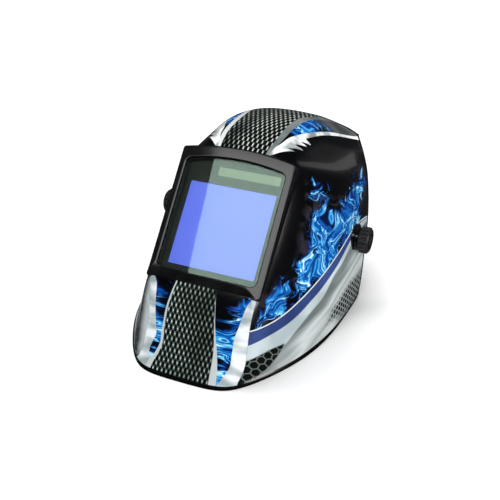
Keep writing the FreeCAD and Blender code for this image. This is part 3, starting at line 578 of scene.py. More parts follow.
def printed_film():
    """The shell's printed outside: fire on black, silver and navy jaw, perforated strips, bare edge."""
    material, tree, shader = surface("shell_film", 0.3, specular=0.32, coat=0.35)
    x, back, up = worn_place(tree)
    side = x.abs()
    place = combine(x, back, up)

    def inside(name, soft=0.25):
        return mesh_value(tree, name).rise(-soft, soft)

    def film(low, high, scale):
        return mix(low, high, noise(place, scale, 3.0).rise(0.3, 0.7))

    # the cheeks: black, with smoke and fire
    smoke = noise(combine(side * 0.045, back * 0.045, up * 0.06 + 4.0), 1.0, 3.0, 0.5, 0.9)
    black = film(linear(0, 0, 2), linear(2, 3, 6), 0.03)
    haze = smoke.rise(0.5, 0.6) * mesh_value(tree, "cheek_fire").rise(-15.0, -2.0)
    colour = mix(black, linear(52, 48, 56), haze * 0.7)
    fire, body = flame_colour(x, back, up, mesh_value(tree, "cheek_fire"), 0.0, 1.2)
    colour = mix(colour, fire, body)

    # the jaw below the pinstripe
    stripe = mesh_value(tree, "jaw")
    metal = brushed_jaw(tree, side, back, up)
    pale = film(linear(166, 180, 184), linear(204, 215, 219), 0.02)
    metal = mix(pale, metal, inside("silver_low", 0.8))
    front_comb = honeycomb((back, up * 1.35), FRONT_CELL, linear(8, 10, 9), linear(92, 102, 98), 0.075)
    metal = mix(metal, front_comb, mesh_value(tree, "front_comb").rise(-1.0, 1.0))
    rear_comb = honeycomb((back, up), REAR_CELL, linear(10, 12, 12), linear(150, 158, 158), 0.12)
    metal = mix(metal, rear_comb, mesh_value(tree, "rear_comb").rise(0.0, 14.0))
    navy = film(linear(38, 56, 108), linear(56, 76, 134), 0.02)
    jaw = mix(navy, metal, inside("navy_edge"))
    jaw = mix(jaw, linear(12, 18, 40), stripe.fall(1.9, 2.3))
    jaw = mix(jaw, linear(214, 222, 226), stripe.fall(1.2, 1.6))
    colour = mix(colour, jaw, stripe.rise(-0.25, 0.25))

    # the snout: black fields with fire, silver blades and a perforated strip
    snout_fire, snout_body = flame_colour(x, back, up, mesh_value(tree, "snout_fire") + 5.0, 90.0, 1.8)
    snout = mix(black, snout_fire, snout_body)
    wave = noise(combine(side * 0.02, back * 0.02, up * 0.06), 1.0, 2.0)
    blade = mix(linear(150, 162, 166), linear(234, 240, 242), wave.rise(0.34, 0.6))
    snout = mix(snout, blade, inside("blade"))
    snout = mix(snout, linear(190, 198, 198), inside("snout_line"))
    slots, joints = slot_grid(x, up * 0.8, SNOUT_PITCH, 3.1, 0.19)
    lit = noise(combine(x * 0.03, back * 0.02, up * 0.03), 1.0, 2.0).rise(0.36, 0.62)
    lit = (lit * 0.5 + x.fall(-34.0, 18.0) * 0.7).least(1.0)
    wall = mix(linear(62, 72, 64), linear(104, 120, 112), lit)
    strip = mix(wall, mix(linear(112, 120, 110), linear(220, 230, 224), lit), joints)
    strip = mix(strip, linear(4, 10, 9), slots)
    snout = mix(snout, strip, inside("snout_strip"))
    colour = mix(colour, snout, inside("snout"))
    grey = mix(linear(184, 192, 194), linear(46, 50, 52), side.rise(50.0, 66.0) + (wave - 0.5) * 0.8)
    colour = mix(colour, grey, inside("side_grey", 1.0))

    # the crown: the same strip, grey bands, fire and a feathered silver sweep
    run = (back + up) * 0.707
    bright = noise(combine(x * 0.03, run * 0.025, back * 0.01), 1.0, 2.0).rise(0.36, 0.6)
    bright = (bright * 0.5 + x.rise(-26.0, 10.0) * 0.6).least(1.0)
    top_slots, top_joints = slot_grid(x, run * 0.72, CROWN_PITCH, 2.6, 0.2)
    crown_strip = mix(linear(66, 78, 70), linear(182, 189, 182), bright)
    crown_strip = mix(crown_strip, linear(220, 226, 219), top_joints * bright)
    crown_strip = mix(crown_strip, linear(4, 8, 7), top_slots)
    top_fire, top_body = flame_colour(x, back, up, mesh_value(tree, "crown_fire") + 4.0, 45.0, 1.8)
    rear_grey = film(linear(56, 60, 62), linear(94, 98, 100), 0.03)
    field = mix(linear(2, 2, 5), rear_grey, run.rise(158.0, 190.0))
    field = mix(field, top_fire, top_body)
    barb = noise(combine(side * 0.05, run * 0.035, 2.0), 1.0, 2.0)
    sweep = mix(linear(134, 142, 142), linear(240, 243, 243), barb.rise(0.36, 0.54))
    crown = mix(colour, sweep, inside("feathers"))
    crown = mix(crown, field, inside("crown_field"))
    band = mix(linear(214, 220, 218), film(linear(92, 99, 100), linear(128, 134, 134), 0.03),
               x.rise(-6.0, 6.0))
    crown = mix(crown, band, inside("crown_band"))
    crown = mix(crown, crown_strip, inside("crown_strip"))
    colour = mix(colour, crown, up.rise(CROWN_START - 1, CROWN_START + 1))

    # the bare black edge
    edge = mesh_value(tree, "edge").fall(LIP_WIDTH - 0.6, LIP_WIDTH + 0.2)
    colour = mix(colour, linear(4, 4, 5), edge)
    feed(colour, shader.inputs["Base Color"])
    scuff = noise(place, 0.4, 4.0, 0.6)
    feed(0.16 + scuff * 0.1, shader.inputs["Roughness"])
    bump(shader, noise(place, 0.35, 2.0), 0.02, 0.3)
    return material


def smooth_curve(points, steps=8):
    """A Catmull-Rom curve through the points."""
    p = np.asarray(points, float)
    p = np.vstack([2 * p[0] - p[1], p, 2 * p[-1] - p[-2]])
    out = []
    for i in range(1, len(p) - 2):
        for k in range(steps):
            t = k / steps
            out.append(0.5 * (2 * p[i] + (p[i + 1] - p[i - 1]) * t
                              + (2 * p[i - 1] - 5 * p[i] + 4 * p[i + 1] - p[i + 2]) * t ** 2
                              + (3 * p[i] - p[i - 1] - 3 * p[i + 1] + p[i + 2]) * t ** 3))
    out.append(p[-2])
    return out


def inside_distance(polygon, a, b):
    """Distance of each point (a, b) from a polygon's outline, positive inside it."""
    p = np.asarray(polygon, float)
    q = np.roll(p, -1, axis=0)
    nearest = np.full(a.shape, 1e9)
    within = np.zeros(a.shape, bool)
    for (ax, ay), (bx, by) in zip(p, q):
        dx, dy = bx - ax, by - ay
        length = dx * dx + dy * dy
        if length == 0:
            continue
        t = np.clip(((a - ax) * dx + (b - ay) * dy) / length, 0, 1)
        nearest = np.minimum(nearest, np.hypot(a - ax - t * dx, b - ay - t * dy))
        if ay != by:
            crosses = (ay > b) != (by > b)
            within ^= crosses & (a < (bx - ax) * (b - ay) / (by - ay) + ax)
    return np.where(within, nearest, -nearest)


def print_layout(p):
    """The outlines of the printed film, as distances at every vertex, from worn places in millimetres."""
    side, back, up = np.abs(p[:, 0]), p[:, 1], p[:, 2]
    run = back + up
    inner = -10.0                                     # past the middle, so no outline closes along it
    nowhere = [(200, 200), (201, 200), (201, 201)]    # away from the whole shell: nothing is inside it

    # seen from the front: side, up; the two halves differ
    left = {
        "snout_strip": smooth_curve([(22, -60), (23, -74), (25, -88), (26.5, -101), (29, -120), (30, -134),
            (30, -154), (31, -172)]) + [(inner, -172), (inner, -60)],
        "snout_line": smooth_curve([(22, -68), (25, -85), (27, -98), (30, -113), (34, -128), (37, -143),
            (38, -156), (38, -172)]) + [(inner, -172), (inner, -68)],
        "blade": smooth_curve([(60.5, -61), (58, -67), (55, -74), (53, -86), (51, -98), (49, -108),
            (49, -126), (49, -136), (46, -144), (42, -152), (38, -160), (34, -172)]) +
            smooth_curve([(58, -172), (58, -151), (61, -139), (62, -127), (61, -97), (61, -75), (61, -61)]),
        "snout_fire": [(39, -172), (37, -143), (34, -128), (31, -112), (33, -104), (45, -102), (44, -95),
            (49, -88), (56, -73), (54, -86), (52, -98), (50, -110), (50, -136), (46, -152)],
        "snout": [(61.2, -58), (61.2, -97), (62.2, -127), (61, -139), (58, -151), (57, -172), (inner, -172),
            (inner, -58)],
        "side_grey": nowhere,
    }
    right = {
        "snout_strip": smooth_curve([(22, -60), (24, -74), (26.5, -88), (28, -101), (28.5, -115),
            (28, -130), (31, -142), (36, -154), (40, -172)]) + [(inner, -172), (inner, -60)],
        "snout_line": smooth_curve([(23, -62), (27, -81), (29.5, -95), (30.5, -109), (31, -122), (31, -131),
            (35, -142), (41, -151), (48, -172)]) + [(inner, -172), (inner, -62)],
        "blade": smooth_curve([(58, -61), (50, -67), (46, -74), (44, -86), (42, -98), (39, -113),
            (37, -123), (40, -132), (42, -141), (40, -150), (37, -160), (34, -172)]) +
            smooth_curve([(66, -172), (60, -152), (55, -147), (51, -136), (50, -121), (49, -107), (51, -96),
            (54, -80), (59, -68), (60, -61)]),
        "snout_fire": [(46, -76), (44, -90), (41, -102), (38, -116), (38, -124), (41, -133), (42, -142),
            (39, -152), (34, -144), (31, -134), (33, -120), (36, -106), (39, -92), (43, -80)],
        "snout": [(60.5, -58), (59, -68), (54, -80), (51, -96), (49, -107), (50, -121), (51, -136),
            (55, -147), (60, -152), (66, -172), (inner, -172), (inner, -58)],
        "side_grey": [(54, -78), (60, -66), (68, -72), (70, -110), (62, -150), (55, -147), (51, -136),
            (50, -121), (49, -107), (51, -96)],
    }

    # seen from the side: back, up
    pinstripe = [(-22, -108), (-4, -96), (22, -75), (43, -49), (64, -17), (81, 13), (101, 45), (118, 62),
        (137, 74), (165, 88)]
    navy = [(-22, -134), (1, -111), (15, -98), (31, -83), (45, -66), (58, -46), (69, -29), (86, 2),
        (100, 30), (116, 55), (138, 73), (165, 87)]
    silver = [(-22, -150), (6, -127), (26, -110), (40, -101), (49, -82), (61, -59), (75, -36), (84, -11),
        (96, 9), (108, 34), (130, 60), (165, 84)]
    below = [(260, 88), (260, -260), (-160, -260), (-160, -130)]
    cheek = [(8, -84), (3, -66), (10, -54), (18, -42), (26, -52), (34, -58), (37, -34), (34, -14), (36, 2),
        (31, 13), (36, 22), (29, 32), (33, 45), (46, 53), (60, 60), (74, 66), (88, 78), (100, 92),
        (116, 112), (132, 128), (142, 122), (126, 100), (112, 82), (118, 66), (101, 48), (81, 16),
        (64, -14), (43, -46), (22, -72)]
    tuft = [(27, 62), (30, 74), (38, 80), (46, 75), (48, 67), (40, 62)]
    from_side = {
        "jaw": smooth_curve(pinstripe) + below,
        "navy_edge": smooth_curve(navy) + below,
        "silver_low": smooth_curve(silver) + below,
        "front_comb": [(-30, -146), (6, -127), (26, -108), (41, -97), (38, -112), (32, -126), (22, -142),
            (6, -170), (-30, -170)],
        "rear_comb": [(88, -72), (130, -52), (185, -10), (165, 18), (142, 12), (122, 0), (107, -20),
            (94, -40)],
    }

    # seen along the crown: side, and back plus up
    top_strip = [(26, 80), (28, 105), (29, 125), (29, 151), (29, 176), (30, 204), (32, 227), (35, 260),
        (40, 345)]
    top_band = [(29, 80), (34, 112), (35.5, 135), (36, 165), (37, 195), (39, 228), (42, 257), (48, 300),
        (56, 345)]
    sweep = [(26, 78), (27, 89), (35, 111), (39, 137), (44, 157), (48, 175), (56, 210), (65, 254),
        (80, 301), (95, 340)]
    feathers = [(26, 76), (36, 91), (52, 117), (43, 111), (57, 134), (46, 128), (57, 148), (48, 144),
        (59, 159), (51, 161), (54, 175), (59, 203), (69, 252), (83, 298), (99, 335)]
    crown = {
        "crown_strip": smooth_curve(top_strip) + [(inner, 345), (inner, 80)],
        "crown_band": smooth_curve(top_band) + [(inner, 345), (inner, 80)],
        "crown_field": smooth_curve(sweep) + [(inner, 335), (inner, 80)],
        "feathers": feathers + [(inner, 330), (inner, 78)],
        "crown_fire": [(36, 150), (36.5, 182), (37.5, 213), (38, 242), (44, 240), (55, 229), (54, 204),
            (48, 175), (42, 156)],
    }

    values = {}
    for name in left:
        values[name] = np.where(p[:, 0] > 0, inside_distance(left[name], side, up),
                                inside_distance(right[name], side, up))
    for name, outline in from_side.items():
        values[name] = inside_distance(outline, back, up)
    for name, outline in crown.items():
        values[name] = inside_distance(outline, side, run)
    values["cheek_fire"] = np.maximum(inside_distance(cheek, back, up), inside_distance(tuft, back, up))
    return values


# ---------------- shell

def rim_row(points):
    """Control points (x, distance behind the chin) just below the flat rim, in the worn frame."""
    row = []
    for x, back in points:
        y, z = back - CHIN_TO_GLASS, -GLASS_HEIGHT - RIM_EXTRA
        row.append((x, y * math.cos(LEAN) - z * math.sin(LEAN), y * math.sin(LEAN) + z * math.cos(LEAN)))
    return row


def shell_net():
    """The shell's control net: rows from the rim up, each from one rear edge round to the other."""
    half = [
        rim_row([(0, -0.6), (25, -0.6), (48, 2.4), (67, 19.6),
                 (88, 53), (112.5, 104.6), (120, 165), (120, 228)]),
        [(0, 2, -148), (25, 1, -148), (50, 0, -146), (65, 12, -138),
         (80, 34, -122), (108, 76, -92), (120, 128, -45), (121, 168, -2)],
        [(0, -4, -124), (24, -5, -124), (51, -4, -123), (65, 4, -118),
         (79, 28, -102), (105, 68, -74), (119, 115, -30), (121, 163, 12)],
        [(0, -17, -98), (24, -17, -98), (52, -14, -97), (66, -4, -94),
         (79, 25, -80), (101, 60, -54), (118, 105, -10), (120, 155, 30)],
        [(0, -25, -66), (26, -25, -66), (54, -22, -65), (67, -5, -62),
         (78, 22, -54), (99, 60, -32), (117, 102, 10), (119, 150, 45)],
        [(0, -20, -25), (26, -18, -25), (53, -12, -24), (67, 1, -22),
         (79, 24, -16), (99, 60, 2), (116, 102, 32), (117, 150, 62)],
        [(0, -13, 30), (26, -12, 30), (53, -8, 30), (67, 3, 32),
         (79, 26, 35), (98, 62, 45), (112, 104, 62), (113, 150, 86)],
        [(0, -10, 84), (26, -9, 83), (50, -5, 80), (66, 7, 78),
         (78, 30, 82), (92, 64, 90), (104, 106, 100), (107, 150, 110)],
        [(0, 6, 112), (26, 7, 111), (44, 9, 105), (56, 18, 100),
         (70, 40, 104), (84, 74, 114), (96, 110, 124), (100, 150, 134)],
        [(0, 33, 144), (27, 35, 143), (47, 39, 134), (58, 44, 127),
         (67, 60, 126), (78, 86, 134), (90, 116, 142), (94, 146, 148)],
        [(0, 82, 175), (27, 83, 174), (48, 85, 168), (62, 89, 160),
         (71, 95, 154), (79, 108, 153), (86, 125, 156), (89, 140, 159)],
        [(0, 135, 190), (17, 135, 190), (34, 135, 188), (49, 135, 184),
         (61, 135, 181), (70, 135, 178), (77, 135, 175), (81, 135, 173)],
    ]
    left = np.array(half, float)
    right = left[:, :0:-1] * np.array([-1.0, 1.0, 1.0])
    return np.concatenate([right, left], axis=1)


def spline_basis(count, params, degree=3):
    """Weights of a clamped uniform spline's control points at each parameter."""
    knots = np.concatenate([np.zeros(degree), np.linspace(0, 1, count - degree + 1), np.ones(degree)])
    t = np.clip(params, 0, 1 - 1e-9)[:, None]
    weights = ((t >= knots[:-1]) & (t < knots[1:])).astype(float)
    for d in range(1, degree + 1):
        left_span = knots[d:-1] - knots[:-d - 1]
        right_span = knots[d + 1:] - knots[1:-d]
        left = (t - knots[:-d - 1]) / np.where(left_span > 0, left_span, 1) * (left_span > 0)
        right = (knots[d + 1:] - t) / np.where(right_span > 0, right_span, 1) * (right_span > 0)
        weights = left * weights[:, :-1] + right * weights[:, 1:]
    return weights


def skin_grid():
    """Points, outward normals and distance from the free edge over the outer skin."""
    net = shell_net()
    across = spline_basis(net.shape[1], np.linspace(0, 1, GRID_U + 1))
    upward = spline_basis(net.shape[0], np.linspace(0, 1, GRID_V + 1))
    points = np.einsum("vi,uj,ijk->vuk", upward, across, net)
    normals = np.cross(np.gradient(points, axis=1), np.gradient(points, axis=0))
    normals /= np.linalg.norm(normals, axis=2, keepdims=True) + 1e-12
    if normals[GRID_V // 2, GRID_U // 2, 1] > 0:
        normals = -normals
    step_u = np.linalg.norm(np.diff(points, axis=1), axis=2)
    step_v = np.linalg.norm(np.diff(points, axis=0), axis=2)
    from_side = np.pad(np.cumsum(step_u, axis=1), ((0, 0), (1, 0)))
    from_rim = np.pad(np.cumsum(step_v, axis=0), ((1, 0), (0, 0)))
    edge = np.minimum.reduce([from_side, from_side[:, -1:] - from_side,
                              from_rim - RIM_EXTRA, from_rim[-1:] - from_rim])
    return points, normals, np.maximum(edge, 0)


def grid_faces(rows, columns, start, flip):
    """Quads over a grid of vertices numbered from start."""
    v, u = np.meshgrid(np.arange(rows - 1), np.arange(columns - 1), indexing="ij")
    a = (start + v * columns + u).ravel()
    quads = np.stack([a, a + 1, a + columns + 1, a + columns], 1)
    return quads[:, ::-1] if flip else quads


def arched_loop(shape, radius, grow=0.0, side=18, corner=6):
    """Points (x, z) round an arched opening; the count doesn't depend on its size."""
    half, bottom, shoulder, crown = shape
    half, bottom, shoulder, crown = half + grow, bottom - grow, shoulder + grow, crown + grow
    radius = max(radius + grow, 0.3)
    sag = crown - shoulder
    arch = (half ** 2 + sag ** 2) / (2 * sag)
    centre = crown - arch
    fillet_z = centre + math.sqrt((arch - radius) ** 2 - (half - radius) ** 2)
    turn = math.atan2(fillet_z - centre, half - radius)
    points = []

    def arc(cx, cz, r, start, end, count):
        for k in range(count):
            angle = start + (end - start) * k / count
            points.append((cx + r * math.cos(angle), cz + r * math.sin(angle)))

    def straight(x0, z0, x1, z1, count):
        for k in range(count):
            points.append((x0 + (x1 - x0) * k / count, z0 + (z1 - z0) * k / count))

    straight(-half + radius, bottom, half - radius, bottom, 2 * side)
    arc(half - radius, bottom + radius, radius, -math.pi / 2, 0, corner)
    straight(half, bottom + radius, half, fillet_z, side)
    arc(half - radius, fillet_z, radius, 0, turn, corner)
    arc(0, centre, arch, turn, math.pi - turn, 2 * side)
    arc(-half + radius, fillet_z, radius, math.pi - turn, math.pi, corner)
    straight(-half, fillet_z, -half, bottom + radius, side)
    arc(-half + radius, bottom + radius, radius, math.pi, 1.5 * math.pi, corner)
    return np.array(points)


def ring_mesh(rings):
    """Points and faces of a closed band through loops of equal count, the last joined to the first."""
    count = len(rings[0])
    points = np.concatenate(rings)
    faces = []
    for i in range(len(rings)):
        a, b = i * count, (i + 1) % len(rings) * count
        for k in range(count):
            n = (k + 1) % count
            faces.append((a + k, a + n, b + n, b + k))
    return points, faces


def bar_slope(x, z):
    """How far the frame's lower bar stands out to meet the snout."""
    middle = np.clip(1 - np.abs(x) / BEZEL[0], 0, 1)
    low = np.clip((OPENING[1] - z) / (OPENING[1] - BEZEL[1]), 0, 1)
    return (1.0 + (BAR_SLOPE - 1.0) * middle) * low


def build_bezel(frame_black):
    """The raised frame round the lens, with soft outer and inner edges."""
    def loop(shape, radius, grow, y, slopes=False):
        flat = arched_loop(shape, radius, grow)
        depth = np.full(len(flat), y)
        if slopes:
            depth = depth - bar_slope(flat[:, 0], flat[:, 1])
        return np.stack([flat[:, 0], depth, flat[:, 1]], 1)

    rings = [loop(BEZEL, BEZEL_CORNER, 0, BEZEL_BACK), loop(BEZEL, BEZEL_CORNER, 0, 0)]
    turns = [math.pi / 2 * k / (ROUND_STEPS - 1) for k in range(ROUND_STEPS)]
    for turn in turns:
        rings.append(loop(BEZEL, BEZEL_CORNER, -OUTER_ROUND * (1 - math.cos(turn)),
                          BEZEL_FRONT + OUTER_ROUND * (1 - math.sin(turn)), True))
    rings.append(loop(BEZEL, BEZEL_CORNER, -OUTER_ROUND - FLAT_BORDER, BEZEL_FRONT, True))
    rings.append(loop(OPENING, OPENING_CORNER, INNER_ROUND + FLAT_BORDER, BEZEL_FRONT))
    for turn in turns:
        rings.append(loop(OPENING, OPENING_CORNER, INNER_ROUND * (1 - math.sin(turn)),
                          BEZEL_FRONT + INNER_ROUND * (1 - math.cos(turn))))
    rings.append(loop(OPENING, OPENING_CORNER, 0, FLANGE_BACK))
    rings.append(loop(POCKET, BEZEL_CORNER, 0, FLANGE_BACK))
    rings.append(loop(POCKET, BEZEL_CORNER, 0, BEZEL_BACK))
    points, faces = ring_mesh(rings)
    bezel = new_mesh("shell_lens_frame", points, faces, "shell", [frame_black])
    face_outward(bezel)
    smooth(bezel, 50.0)
    return bezel


def cutter(shape, radius, grow, y0, y1):
    """A solid block of the given outline, for cutting with."""
    flat = arched_loop(shape, radius, grow)
    points = [(x, y, z) for y in (y0, y1) for x, z in flat]
    count = len(flat)
    faces = [tuple(range(count))[::-1], tuple(range(count, 2 * count))]
    faces += [(k, (k + 1) % count, count + (k + 1) % count, count + k) for k in range(count)]
    mesh = bpy.data.meshes.new("cutter")
    mesh.from_pydata([tuple(p) for p in to_object(points)], [], faces)
    obj = add_object("cutter", mesh)
    face_outward(obj)
    return obj


def build_skin(film, inner_black):
    """The moulded skin: printed outside, bare inside, with a raised lip round its free edge."""
    outer, normals, edge = skin_grid()
    lip = LIP_RISE * np.clip((LIP_WIDTH + 0.8 - edge) / 1.6, 0, 1)
    lip *= np.clip(0.35 + edge / 1.2, 0, 1)
    inner = outer - normals * SKIN
    outer = outer + normals * lip[..., None]
    rows, columns = outer.shape[:2]
    total = rows * columns
    faces = np.concatenate([grid_faces(rows, columns, 0, False), grid_faces(rows, columns, total, True)])
    rim = np.arange(columns - 1)
    top = (rows - 1) * columns + rim
    side = np.arange(rows - 1) * columns
    far = side + columns - 1
    walls = [np.stack([rim, rim + total, rim + 1 + total, rim + 1], 1),
             np.stack([top, top + 1, top + 1 + total, top + total], 1),
             np.stack([side, side + columns, side + columns + total, side + total], 1),
             np.stack([far, far + total, far + columns + total, far + columns], 1)]
    faces = np.concatenate([faces] + walls)
    points = np.concatenate([outer.reshape(-1, 3), inner.reshape(-1, 3)])
    placed = to_object(points)
    placed[:, 2] = np.maximum(placed[:, 2], 0.0)
    skin = new_mesh("shell_skin", placed, faces.tolist(), "shell", [film, inner_black],
                    worn=False)
    face_outward(skin)
    quads = (rows - 1) * (columns - 1)
    bare = [0] * quads + [1] * quads + [0] * (len(skin.data.polygons) - 2 * quads)
    skin.data.polygons.foreach_set("material_index", bare)
    block = cutter(BEZEL, BEZEL_CORNER, -CUT_INSET, CUT_FRONT, BEZEL_BACK - CUT_STOP)
    cut = skin.modifiers.new("opening", "BOOLEAN")
    cut.operation = "DIFFERENCE"
    cut.solver = "MANIFOLD"
    cut.object = block
    apply_modifiers(skin)
    bpy.data.objects.remove(block)
    smooth(skin, 50.0)
    add_layout(skin, placed[:total], edge.ravel())
    return skin


def add_layout(skin, grid_points, grid_edge):
    """Stores the film's outlines and the distance from the free edge on the skin's vertices."""
    count = len(skin.data.vertices)
    co = np.empty(count * 3)
    skin.data.vertices.foreach_get("co", co)
    co = co.reshape(-1, 3)
    values = print_layout(to_worn(co))
    tree = kdtree.KDTree(len(grid_points))
    for i, p in enumerate(grid_points):
        tree.insert(p, i)
    tree.balance()
    values["edge"] = np.array([grid_edge[tree.find(p)[1]] for p in co])
    for name, data in values.items():
        attribute = skin.data.attributes.new(name, "FLOAT", "POINT")
        attribute.data.foreach_set("value", data.astype(np.float32))


def lathe(name, profile, place, direction, material):
    """A turned piece: a closed profile of (along, radius), in millimetres, spun about direction."""
    points = []
    faces = []
    count = len(profile)
    for k in range(LATHE_STEPS):
        angle = 2 * math.pi * k / LATHE_STEPS
        points += [(r * math.cos(angle), r * math.sin(angle), a) for a, r in profile]
        n = (k + 1) % LATHE_STEPS
        for i in range(count):
            j = (i + 1) % count
            faces.append((k * count + i, n * count + i, n * count + j, k * count + j))
    turn = Vector(direction).to_track_quat("Z", "Y").to_matrix()
    worn = [tuple(Vector(place) + turn @ Vector(p)) for p in points]
    obj = new_mesh(name, worn, faces, "shell", [material])
    face_outward(obj)
    smooth(obj)
    return obj


def build_pivot_pads(material):
    """The thick bosses round the pivots, inside and outside the skin."""
    height = PAD_OUT - PAD_IN
    profile = [(0, PIVOT_BORE), (0, PAD_R - 0.6), (0.6, PAD_R), (3.6, PAD_R), (4.4, PAD_R_OUT),
               (height - 0.6, PAD_R_OUT), (height, PAD_R_OUT - 0.6), (height, PIVOT_BORE)]
    pads = []
    for side, word in ((1, "left"), (-1, "right")):
        place = (side * PAD_IN, PIVOT_Y, PIVOT_Z)
        pads.append(lathe("shell_pivot_pad_" + word, profile, place, (side, 0, 0), material))
    return pads


def build_shell():
    film = printed_film()
    inner_black = moulded("shell_inside", linear(22, 22, 24), 0.55)
    frame_black = moulded("lens_frame_black", linear(4, 4, 5), 0.09, 1.4, 0.62, 0.004)
    skin = build_skin(film, inner_black)
    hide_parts("shell")
    for piece in [build_bezel(frame_black)] + build_pivot_pads(frame_black):
        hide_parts("shell")


# ---------------- soft pads

BAND_HALF = 74.0
BAND_FRONT = 38.0
SIDE_FRONT = 84.0
SIDE_REAR = 168.0
BAND_REAR = 210.0
PAD_THICK = 5.0
BROW_SEAMS = (0.2, 0.35, 0.65, 0.8)     # sewn channels, as shares of the pad's length
NAPE_SEAMS = (0.28, 0.5, 0.72)
PAD_AROUND = 28             # points round a pad's section
PUFF_CAP = 0.5              # furthest that the stuffing moves any point
PUFF_FRAMES = 20
BROW_INSET = 2.3
NAPE_INSET = 4.5


def band_path(inset, front, start, end, count):
    """Points and inward normals along the front or rear ellipse of the headband's plan."""
    half = BAND_HALF - inset
    centre = SIDE_FRONT if front else SIDE_REAR
    reach = (SIDE_FRONT - BAND_FRONT if front else BAND_REAR - SIDE_REAR) - inset
    sign = -1 if front else 1
    points, inward = [], []
    for k in range(count + 1):
        angle = start + (end - start) * k / count
        points.append((half * math.cos(angle), centre + sign * reach * math.sin(angle)))
        normal = Vector((-math.cos(angle) / half, -sign * math.sin(angle) / reach)).normalized()
        inward.append(tuple(normal))
    return np.array(points), np.array(inward)


def pad_mesh(path, inward, heights, seams):
    """A pad lying on the band: flat behind, crowned in front, drawn in at its sewn channels."""
    rings = []
    total = len(path) - 1
    for k, (point, normal) in enumerate(zip(path, inward)):
        share = k / total
        low, high = heights(share)
        taper = min(1.0, 9.0 * min(share, 1 - share) + 0.35)
        channel = 1.0 - 0.38 * sum(math.exp(-((share - s) * 70) ** 2) for s in seams)
        thick = (PAD_THICK - 0.9) * taper * channel
        ring = []
        for j in range(PAD_AROUND):
            angle = 2 * math.pi * j / PAD_AROUND
            c, s = math.cos(angle), math.sin(angle)
            rise = math.copysign(abs(s) ** 0.55, s)
            depth = 0.5 + 0.5 * math.copysign(abs(c) ** 0.7, c)
            z = (low + high) / 2 + (high - low) / 2 * rise * (0.93 + 0.07 * taper)
            x, y = point + normal * (0.3 + thick * depth)
            ring.append((x, y, z))
        rings.append(ring)
    points = np.array(rings).reshape(-1, 3)
    faces = []
    for k in range(total):
        a, b = k * PAD_AROUND, (k + 1) * PAD_AROUND
        for j in range(PAD_AROUND):
            n = (j + 1) % PAD_AROUND
            faces.append((a + j, a + n, b + n, b + j))
    faces.append(tuple(range(PAD_AROUND))[::-1])
    faces.append(tuple(range(total * PAD_AROUND, (total + 1) * PAD_AROUND)))
    return points, faces


def puff(obj, pinned):
    """Inflates a pad by cloth simulation. No point moves further than PUFF_CAP; pinned ones hardly move."""
    rest = np.array([v.co for v in obj.data.vertices])
    group = obj.vertex_groups.new(name="held")
    group.add([int(i) for i in np.flatnonzero(pinned)], 1.0, "REPLACE")
    cloth = obj.modifiers.new("puff", "CLOTH")
    cloth.settings.use_pressure = True
    cloth.settings.uniform_pressure_force = 4.0
    cloth.settings.effector_weights.gravity = 0.0
    cloth.settings.vertex_group_mass = "held"
    cloth.settings.quality = 5
    for number in range(1, PUFF_FRAMES + 1):
        bpy.context.scene.frame_set(number)
    graph = bpy.context.evaluated_depsgraph_get()
    moved = np.array([v.co for v in obj.evaluated_get(graph).data.vertices])
    obj.modifiers.clear()
    bpy.context.scene.frame_set(1)
    shift = moved - rest
    length = np.linalg.norm(shift, axis=1, keepdims=True)
    shift *= np.minimum(1.0, PUFF_CAP * MM / np.maximum(length, 1e-9))
    obj.data.vertices.foreach_set("co", (rest + shift).ravel())
    obj.data.update()


def build_pad(name, body, node, path, inward, heights, seams, material):
    points, faces = pad_mesh(path, inward, heights, seams)
    pad = new_mesh(name, points, faces, body, [material])
    face_outward(pad)
    ring = np.arange(len(pad.data.vertices)) % PAD_AROUND
    behind = (ring > PAD_AROUND * 0.3) & (ring < PAD_AROUND * 0.7)
    puff(pad, behind)
    rounder = pad.modifiers.new("rounder", "SUBSURF")
    rounder.levels = rounder.render_levels = 1
    apply_modifiers(pad)
    smooth(pad, 180.0)
    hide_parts(node)
    return pad


def build_pads(material):
    """The brow sweatband and the nape pad."""
    def brow(share):
        away = abs(share - 0.5) * 2
        drop = max(0.0, (away - 0.55) / 0.45)
        return 42.6 + 2.8 * drop, 75.4 - 7.4 * drop

    def nape(share):
        return 44.6, 67.4

    start = math.radians(6)
    path, inward = band_path(BROW_INSET, True, start, math.pi - start, 90)
    build_pad("brow_sweatband", "headgear", "sweatband", path, inward, brow, BROW_SEAMS, material)
    start = math.radians(27)
    path, inward = band_path(NAPE_INSET, False, start, math.pi - start, 64)
    build_pad("nape_cushion", "nape", "nape_pad", path, inward, nape, NAPE_SEAMS, material)


# ---------------- the CAD nodes' materials

def dress_nodes():
    """Gives every CAD node the material of its slot in the record."""
    by_slot = {
        "shell_plastic": moulded("spare_shell", linear(9, 9, 10), 0.2),
        "clear_lens": clear_lens(),
        "foam_rubber": foam(),
        "case_plastic": moulded("case_plastic", linear(36, 39, 33), 0.42, 1.0, 0.35),
        "filter_glass": filter_coating_painted_glow(),
        "lcd_glass": tinted("lcd_laminate", linear(14, 24, 22), linear(28, 42, 40), 0.1),
        "solar_cell": solar_cell(),
        "sensor_window": tinted("sensor_window", linear(10, 5, 6), linear(30, 12, 14), 0.3),
        "board": circuit(),
        "control_plastic": moulded("control_plastic", linear(52, 53, 56), 0.45),
        "button_plastic": moulded("button_plastic", linear(128, 130, 134), 0.45),
        "frame_plastic": moulded("frame_plastic", linear(28, 28, 30), 0.5),
        "steel": plated_steel(),
        "band_plastic": moulded("band_plastic", linear(44, 44, 48), 0.42),
        "sweat_fabric": sweat_cloth(),
        "knob_rubber": knob_rubber(),
    }
    for part in frame["record"]["subparts"]:
        mesh = NODES[part["node"]].data
        mesh.materials.clear()
        mesh.materials.append(by_slot[part["material_slot"]])
    return by_slot


# ---------------- studio

